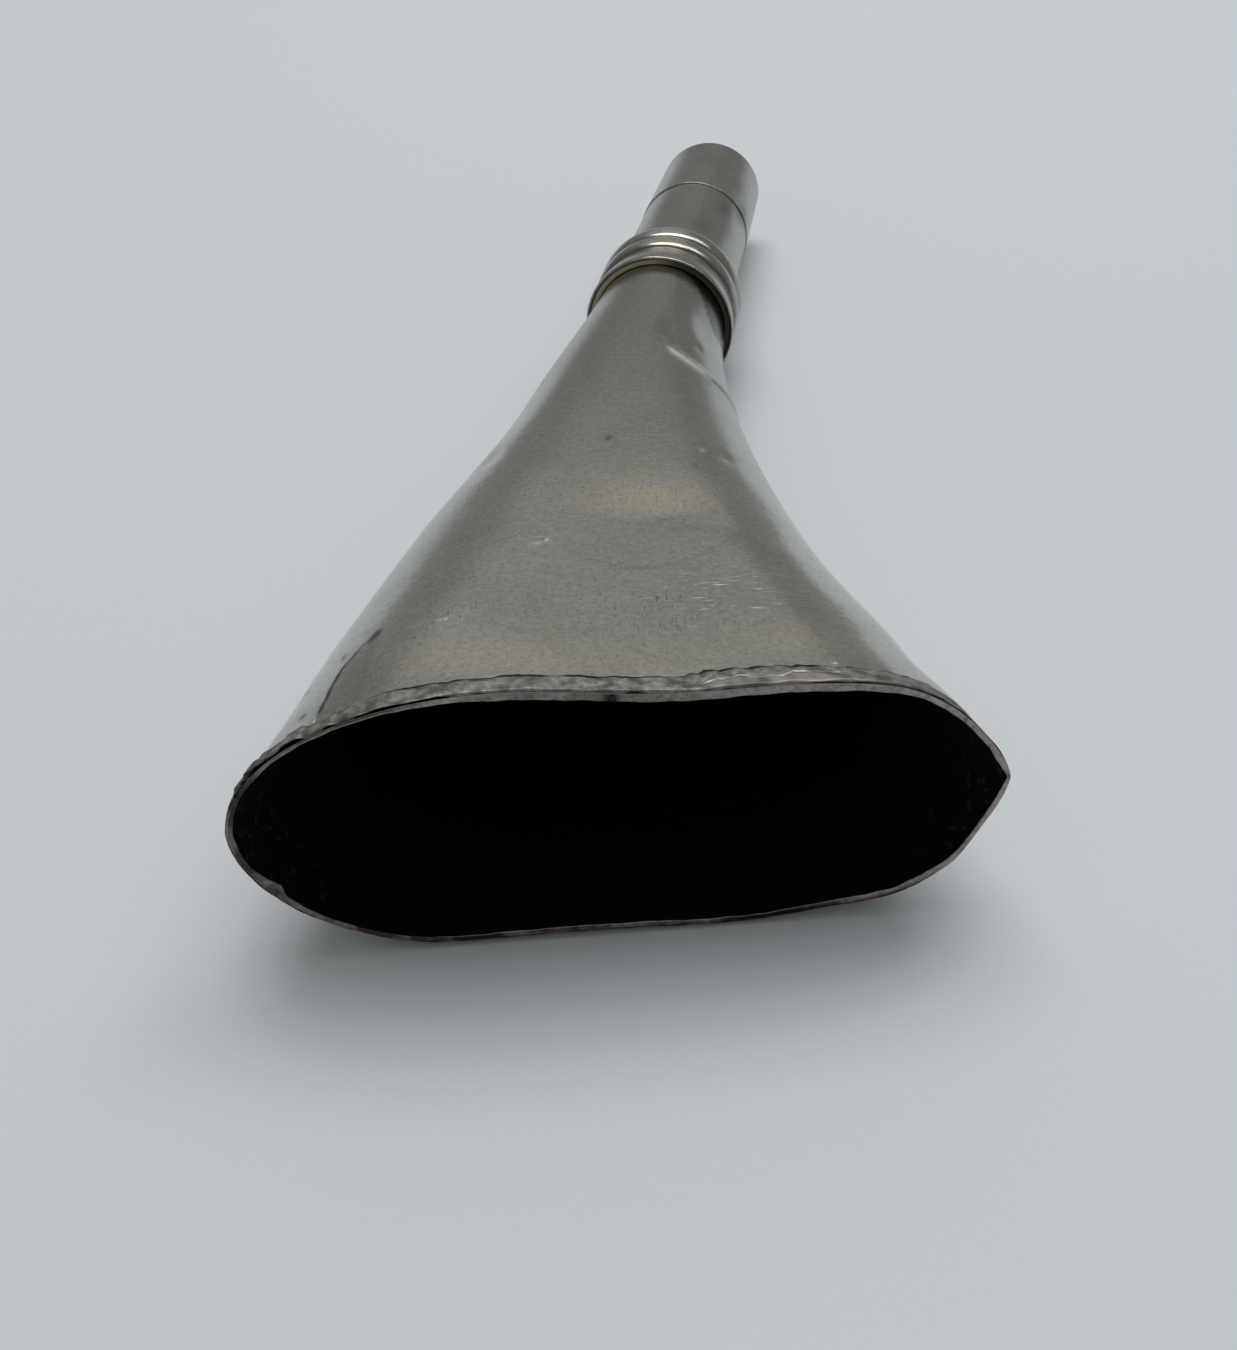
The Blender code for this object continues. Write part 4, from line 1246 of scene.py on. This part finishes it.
# %% [markdown]
# ## Old grease in the ferrule
# The ferrule's lip stands clear of the neck, and the gap shows a brown film of old grease and tarnish on
# its inner wall. The film is painted darker on the right and black under the lip's edge, as shade in the
# gap. Grease dries to a half-dull skin, so it is not a metal any more.

# %% Dried grease
GREASE_STREAK = 1.2 * MM
STREAK_DEPTH = 0.05 * MM


def make_grease():
    material, tree, shader, place = start_material("dried_grease_film")
    streaks = add_node(tree, "TexNoise", {"Scale": 1 / GREASE_STREAK, "Detail": 4.0}, {"Vector": place})
    colour = add_node(
        tree, "Mix", {"data_type": "RGBA", 6: linear("#d2c6a4"), 7: linear("#a3957a")},
        {0: streaks.outputs["Fac"]})
    # dirt on the grease, and painted shade in the gap under the lip
    grime_and_shade = add_node(tree, "Attribute", {"attribute_name": "grime_and_shade"})
    dirt_and_shade_mix = add_node(
        tree, "Mix", {"data_type": "RGBA", 7: linear("#241e19")},
        {0: grime_and_shade.outputs["Fac"], 6: colour.outputs[2]})
    bump = add_node(
        tree, "Bump", {"Strength": 0.4, "Distance": STREAK_DEPTH}, {"Height": streaks.outputs["Fac"]})
    set_node(tree, shader, {"Roughness": 0.45}, {
        "Base Color": dirt_and_shade_mix.outputs[2], "Normal": bump.outputs["Normal"]})
    return material


GREASE = make_grease()
print("made", GREASE.name)

# %% Ferrule with its lip, cove and two beads
# radii and stations in mm
LIP_RADIUS = 9.2
LIP_ROUND = 0.175
WAIST = 8.7
BEAD_HEIGHT = 0.448
BEAD_HALF_WIDTH = 1.35
FIRST_BEAD = 6.025
SECOND_BEAD = 9.125
COVE_END = 4.675
FERRULE_END = 13.475
FERRULE_BORE = 7.7
CAVITY = 8.35
BARREL_START = 3.4
GREASE_FACE = 0.22
GREASE_DEPTH = 0.9
GREASE_RADIUS = 8.17
GREASE_ROUND = 0.05
GREASE_EDGE = LIP_RADIUS - 2 * LIP_ROUND - 0.03
ferrule_outline = arc(LIP_RADIUS - LIP_ROUND, LIP_ROUND, LIP_ROUND, 180.0, 360.0, 10)
ferrule_outline += sweep((LIP_RADIUS, LIP_ROUND), (WAIST, COVE_END), 20)[1:-1]
for bead_middle in (FIRST_BEAD, SECOND_BEAD):
    ferrule_outline += bead(bead_middle, WAIST, BEAD_HEIGHT, BEAD_HALF_WIDTH, 18)
ferrule_outline += sweep((WAIST, SECOND_BEAD + BEAD_HALF_WIDTH), (FERRULE_BORE + 0.05, FERRULE_END), 18)[1:]
outside_rows = len(ferrule_outline)
ferrule_outline += [(FERRULE_BORE, FERRULE_END), (FERRULE_BORE, BARREL_START)]
ferrule_outline += straight((CAVITY, BARREL_START), (CAVITY, GREASE_DEPTH), 0.8)
ferrule_outline += [(GREASE_RADIUS, GREASE_DEPTH), (GREASE_RADIUS, GREASE_FACE + GREASE_ROUND)]
ferrule_outline += straight((GREASE_RADIUS + GREASE_ROUND, GREASE_FACE), (GREASE_EDGE, GREASE_FACE), 0.06)
ferrule_slots = np.array([0] * (outside_rows + 1) + [1] * (len(ferrule_outline) - outside_rows - 1))
ferrule_ring = lathe_part(
    "ferrule_ring", ferrule_outline, [NICKEL_SILVER, GREASE], "mouthpiece", "ferrule",
    ferrule_slots)

# %% Dirt, painted shade and painted highlights on the ferrule
GROOVES = [COVE_END, FIRST_BEAD + 1.55, SECOND_BEAD + BEAD_HALF_WIDTH]
GROOVE_WIDTH = 0.22
GROOVE_DIRT = 0.4
# angles round the axis are in degrees: 0 is the right side and -90 the top
# painted shade: the grease face is darker on the right, in the shade of the gap
GREASE_SHADE_FROM = (-100.0, 30.0)
GREASE_SHADE_UP_TO = (95.0, -30.0)
GREASE_SHADE = 0.85
GREASE_SHADE_LEAST = 0.05
# painted shadow: the grease face is black from this radius outwards, under the lip's inner edge, over this
# width, in mm
LIP_SHADOW_EDGE = (8.68, 0.08)
# station, reach along in mm and strength of the warm tone in the cove
COVE_WARMTH = (3.2, 1.3, 0.6)
# painted highlight: the beads are warmer on top only, over this many degrees either way
TOP_HIGHLIGHT_REACH = 16.0
TOP_HIGHLIGHT_WARMTH = 0.6
# dullness on top, what the sides have more of it, and how many degrees from the top that starts; the duller,
# darker sides are handling wear and painted shade that keeps the highlight on top short
DULL_TOP = (0.15, 0.85, 8.0)
profile_radii, profile_stations = np.array(ferrule_outline)[:, :1], np.array(ferrule_outline)[:, 1:]
round_axis = np.linspace(0.0, 360.0, TURNED_COLUMNS, endpoint=False)[None, :]
from_right = (round_axis + 180) % 360 - 180
from_top = np.abs(from_right + 90)
greasy = (np.arange(len(ferrule_outline)) > outside_rows)[:, None]
groove_dirt = sum(GROOVE_DIRT * around(profile_stations, groove, GROOVE_WIDTH) for groove in GROOVES)
grease_shade = GREASE_SHADE * past(from_right, *GREASE_SHADE_UP_TO) * past(from_right, *GREASE_SHADE_FROM)
grease_dirt_and_shade = np.maximum(GREASE_SHADE_LEAST + grease_shade, past(profile_radii, *LIP_SHADOW_EDGE))
cove_warmth = COVE_WARMTH[2] * around(profile_stations, COVE_WARMTH[0], COVE_WARMTH[1])
top_highlight = around(from_top, 0.0, TOP_HIGHLIGHT_REACH) * (profile_stations > COVE_END)
handled_sides = DULL_TOP[0] + DULL_TOP[1] * past(from_top, DULL_TOP[2], TOP_HIGHLIGHT_REACH)
paint_points(ferrule_ring, "grime_and_shade", groove_dirt * ~greasy + grease_dirt_and_shade * greasy)
# warmth in the cove, and the painted highlight on top of the beads
paint_points(ferrule_ring, "warm", cove_warmth + TOP_HIGHLIGHT_WARMTH * top_highlight)
paint_points(ferrule_ring, "dull", handled_sides + 0 * profile_stations)
print("dirt in", len(GROOVES), "grooves")

# %% Outlines of barrel and tip
# radii and stations in mm
BARREL_BORE = 6.5
BARREL_ROOT = 7.6
BARREL_END = 7.22
BARREL_STEP = 30.6
SPIGOT = 6.9
SPIGOT_END = 38.1
TIP_SEAT = 7.0
TIP_RADIUS = 7.36
TIP_END_RADIUS = 7.0
TIP_END = 48.69
TIP_ROUND = 1.2
TIP_BORE = 6.3
BLOW_HOLE = 4.8
BLOW_ROUND = 0.3
BLOW_WALL = 1.6
SEAT_GAP = 0.1
START_ROUND = 0.12
TIP_START = BARREL_STEP + 0.22
barrel_outline = [(BARREL_BORE, BARREL_START)]
barrel_outline += straight((BARREL_ROOT, BARREL_START), (BARREL_ROOT, FERRULE_END), 2.0)
barrel_outline += straight((BARREL_ROOT, FERRULE_END), (BARREL_END, BARREL_STEP), 1.5)[1:]
barrel_outline += [(SPIGOT, BARREL_STEP), (SPIGOT, SPIGOT_END), (BARREL_BORE, SPIGOT_END)]
tip_outline = [(TIP_SEAT, BARREL_STEP + SEAT_GAP)]
tip_outline += arc(TIP_RADIUS - START_ROUND, TIP_START, START_ROUND, 270.0, 360.0, 5)
tip_outline += straight((TIP_RADIUS, TIP_START), (TIP_END_RADIUS, TIP_END - TIP_ROUND), 1.5)[1:-1]
tip_outline += arc(TIP_END_RADIUS - TIP_ROUND, TIP_END - TIP_ROUND, TIP_ROUND, 0.0, 90.0, 14)
tip_outline += arc(BLOW_HOLE + BLOW_ROUND, TIP_END - BLOW_ROUND, BLOW_ROUND, 90.0, 180.0, 5)
tip_outline += [(BLOW_HOLE, TIP_END - BLOW_WALL), (TIP_BORE, TIP_END - BLOW_WALL)]
tip_outline += [(TIP_BORE, SPIGOT_END + SEAT_GAP), (TIP_SEAT, SPIGOT_END + SEAT_GAP)]
print("outlines of", len(barrel_outline), "and", len(tip_outline), "points")

# %% Barrel and tip
# station in mm, angle round the axis in degrees, reach along, reach round, strength
# darker blotches, most of them on the tube's upper right side
BARREL_DARK_BLOTCHES = [
    (26.5, -46.0, 2.8, 11.0, 0.45), (29.6, -25.0, 1.7, 11.0, 0.85), (20.5, -37.0, 3.5, 9.0, 0.35),
    (17.0, -70.0, 2.0, 16.0, 0.2), (24.0, -118.0, 4.0, 14.0, 0.18)]
TIP_DARK_BLOTCHES = [
    (31.8, -24.0, 1.7, 11.0, 0.8), (36.5, -36.0, 3.0, 10.0, 0.35), (41.0, -80.0, 3.0, 18.0, 0.18),
    (46.0, -120.0, 2.0, 25.0, 0.25)]
TUBE_NICKS = 0.2


def paint_tube(piece, outline, dark_spots):
    """Much handled all over, with darker blotches and fine nicks along the tube."""
    stations = np.array(outline)[:, 1:]
    blotches = patches(dark_spots, stations, from_right + 0 * stations)
    paint_points(piece, "dull", 1 + 0 * blotches)
    paint_points(piece, "grime_and_shade", blotches)
    paint_points(piece, "nicks", TUBE_NICKS + 0 * blotches)


barrel_tube = lathe_part(
    "barrel_tube", barrel_outline, [NICKEL_SILVER], "mouthpiece", "barrel")
paint_tube(barrel_tube, barrel_outline, BARREL_DARK_BLOTCHES)
tip_tube = lathe_part(
    "tip_tube", tip_outline, [NICKEL_SILVER], "mouthpiece", "tip_sleeve")
paint_tube(tip_tube, tip_outline, TIP_DARK_BLOTCHES)

# %% [markdown]
# ## The reed inside
# Under the mouthpiece the neck carries a brass tenon, and in its bore sits the reed: a brass block, a
# half-tube called the shallot, and a spring tongue held on its flat by a small boxwood wedge.
# Turned brass has a warm gloss with fine tool marks, rolled spring brass is paler and smoother, and boxwood
# is a dull yellow wood with a fine straight grain. The tenon is turned again with finer rounds. The packed
# solids of the reed have their full form already, so they only get new finishes.

# %% Turned brass, spring brass and boxwood
TOOL_MARK = 0.2 * MM     # lathe marks are finer; this is as coarse as they need to show
TOOL_MARK_DEPTH = 0.02 * MM
BRASS_CLOUD = 4.0 * MM
WOOD_GRAIN = 0.35 * MM
WOOD_GRAIN_DEPTH = 0.03 * MM


def make_brass(name, light, dark, roughness):
    material, tree, shader, place = start_material(name)
    stretch = add_node(tree, "Mapping", {"Scale": (0.15, 1.0, 0.15)}, {"Vector": place})
    marks = add_node(
        tree, "TexNoise", {"Scale": 1 / TOOL_MARK, "Detail": 3.0}, {"Vector": stretch.outputs["Vector"]})
    cloud = add_node(tree, "TexNoise", {"Scale": 1 / BRASS_CLOUD, "Detail": 4.0}, {"Vector": place})
    colour = add_node(
        tree, "Mix", {"data_type": "RGBA", 6: linear(light), 7: linear(dark)}, {0: cloud.outputs["Fac"]})
    bump = add_node(
        tree, "Bump", {"Strength": 0.2, "Distance": TOOL_MARK_DEPTH}, {"Height": marks.outputs["Fac"]})
    set_node(tree, shader, {"Metallic": 1.0, "Roughness": roughness}, {
        "Base Color": colour.outputs[2], "Normal": bump.outputs["Normal"]})
    return material


def make_boxwood():
    material, tree, shader, place = start_material("boxwood_cut")
    stretch = add_node(tree, "Mapping", {"Scale": (1.0, 0.08, 1.0)}, {"Vector": place})
    grain = add_node(
        tree, "TexNoise", {"Scale": 1 / WOOD_GRAIN, "Detail": 4.0}, {"Vector": stretch.outputs["Vector"]})
    colour = add_node(
        tree, "Mix", {"data_type": "RGBA", 6: linear("#c79a5b"), 7: linear("#94683a")},
        {0: grain.outputs["Fac"]})
    bump = add_node(
        tree, "Bump", {"Strength": 0.3, "Distance": WOOD_GRAIN_DEPTH}, {"Height": grain.outputs["Fac"]})
    set_node(tree, shader, {"Roughness": 0.6}, {
        "Base Color": colour.outputs[2], "Normal": bump.outputs["Normal"]})
    return material


TURNED_BRASS = make_brass("brass_turned", "#cdb06a", "#a88748", 0.3)
SPRING_BRASS = make_brass("spring_brass_rolled", "#d8bd78", "#bb9a57", 0.25)
BOXWOOD = make_boxwood()
print("made", TURNED_BRASS.name, SPRING_BRASS.name, BOXWOOD.name)

# %% Tenon
# radii and stations in mm
SEAT = 7.5
SEAT_WALL = 0.5
SEAT_START = -4.8
SHOULDER_RADIUS = 7.85
SHOULDER_START = 2.3
SHOULDER_TOP = 3.1
SHOULDER_BEVEL = 0.1
TENON = 6.42
TENON_BORE = 5.92
TENON_END = 17.0
TENON_BEVEL = 0.2
tenon_outline = [(SEAT - SEAT_WALL, SEAT_START), (SEAT, SEAT_START), (SEAT, SHOULDER_START)]
tenon_outline += [(SHOULDER_RADIUS, SHOULDER_START), (SHOULDER_RADIUS, SHOULDER_TOP - SHOULDER_BEVEL)]
tenon_outline += [(SHOULDER_RADIUS - SHOULDER_BEVEL, SHOULDER_TOP)]
tenon_outline += straight((TENON, SHOULDER_TOP), (TENON, TENON_END - TENON_BEVEL), 2.0)
tenon_outline += [(TENON - TENON_BEVEL, TENON_END), (TENON_BORE, TENON_END)]
tenon_outline += sweep((TENON_BORE, 0.2), (SEAT - SEAT_WALL, SEAT_START), 10)[:-1]
lathe_part("tenon_tube", tenon_outline, [TURNED_BRASS], "horn", "neck_tenon")

# %% Finishes for the reed's own solids
REED_FINISHES = {
    "reed_block": TURNED_BRASS,
    "shallot": TURNED_BRASS,
    "reed_wedge": BOXWOOD,
    "reed_tongue": SPRING_BRASS,
}
for node, material in REED_FINISHES.items():
    mesh = frame["nodes"][node].data
    mesh.materials.clear()
    mesh.materials.append(material)
    print(node, "is", material.name)

# %% [markdown]
# ## Table, light and camera
# The horn lies on a pale matt laminate with hardly any grain, in an even grey room, under a broad soft
# lamp, with a smaller one to the right and a dim window behind. Metal shows what stands round it, so few
# large lights give calm reflections where many small ones would sparkle. The camera stands where the
# photographer stood, in front of the mouth and above it.

# %% A pale table
TABLE_SIZE = 4.0
TABLE_GRAIN = 0.8 * MM


def make_table_top():
    material, tree, shader, place = start_material("pale_table_laminate")
    grain = add_node(tree, "TexNoise", {"Scale": 1 / TABLE_GRAIN, "Detail": 2.0}, {"Vector": place})
    colour = add_node(
        tree, "Mix", {"data_type": "RGBA", 6: linear("#dde3e7"), 7: linear("#d8dfe4")},
        {0: grain.outputs["Fac"]})
    set_node(tree, shader, {"Roughness": 0.6}, {"Base Color": colour.outputs[2]})
    return material


floor_mesh = bpy.data.meshes.new("table_top")
half = TABLE_SIZE / 2
floor_corners = [(-half, -half, 0.0), (half, -half, 0.0), (half, half, 0.0), (-half, half, 0.0)]
floor_mesh.from_pydata(floor_corners, [], [(0, 1, 2, 3)])
floor_mesh.materials.append(make_table_top())
table_top = bpy.data.objects.new("table_top", floor_mesh)
bpy.context.scene.collection.objects.link(table_top)
print("table of", TABLE_SIZE, "m")

# %% An even room
ROOM_STRENGTH = 0.267
world = bpy.data.worlds.new("grey_room")
world.use_nodes = True
bpy.context.scene.world = world
background = world.node_tree.nodes["Background"]
background.inputs["Color"].default_value = linear("#fefefb")
background.inputs["Strength"].default_value = ROOM_STRENGTH
print("room at", ROOM_STRENGTH)

# %% Two soft lamps and a dim window
# place in m, length and width in m, power in W
LAMPS = {
    "lamp_above": (Vector((0.0, 0.28, 1.0)), 0.7, 0.7, 4.97),
    "lamp_right": (Vector((0.55, 0.4, 0.9)), 0.4, 0.4, 1.64),
    "window_behind": (Vector((0.0, 0.9, 0.6)), 0.8, 0.6, 0.213),
}
for name, (place, length, width, power) in LAMPS.items():
    lamp_data = bpy.data.lights.new(name, "AREA")
    lamp_data.shape = "RECTANGLE"
    lamp_data.size = length
    lamp_data.size_y = width
    lamp_data.energy = power
    lamp = bpy.data.objects.new(name, lamp_data)
    bpy.context.scene.collection.objects.link(lamp)
    lamp.location = place
    lamp.rotation_euler = (-place).to_track_quat("-Z", "Y").to_euler()
    print(name, round(place.length, 2), "m away")

# %% The photographer's camera
CAMERA_PLACE = Vector((-6.45, -113.29, 93.67)) * MM
CAMERA_HEADING = math.radians(3.238)
CAMERA_DOWN = math.radians(35.204)
CAMERA_ROLL = math.radians(-2.111)
# focal length in pixels, and the longer side of the picture, which the sensor's width is fitted to
FOCAL_PIXELS = 1800
PHOTO_HEIGHT = 1350
SENSOR = 36.0
camera_data = bpy.data.cameras.new("camera")
camera_data.sensor_width = SENSOR
camera_data.lens = SENSOR * FOCAL_PIXELS / PHOTO_HEIGHT
camera_data.clip_start = 0.01
camera = bpy.data.objects.new("camera", camera_data)
bpy.context.scene.collection.objects.link(camera)
aim = Matrix.Rotation(-CAMERA_HEADING, 4, "Z") @ Matrix.Rotation(math.pi / 2 - CAMERA_DOWN, 4, "X")
camera.matrix_world = HORN @ Matrix.Translation(CAMERA_PLACE) @ aim @ Matrix.Rotation(CAMERA_ROLL, 4, "Z")
bpy.context.scene.camera = camera
bpy.context.scene.view_settings.view_transform = "Standard"
print("lens of", camera_data.lens, "mm")

# %% Update the scene, and the end
bpy.context.view_layer.update()
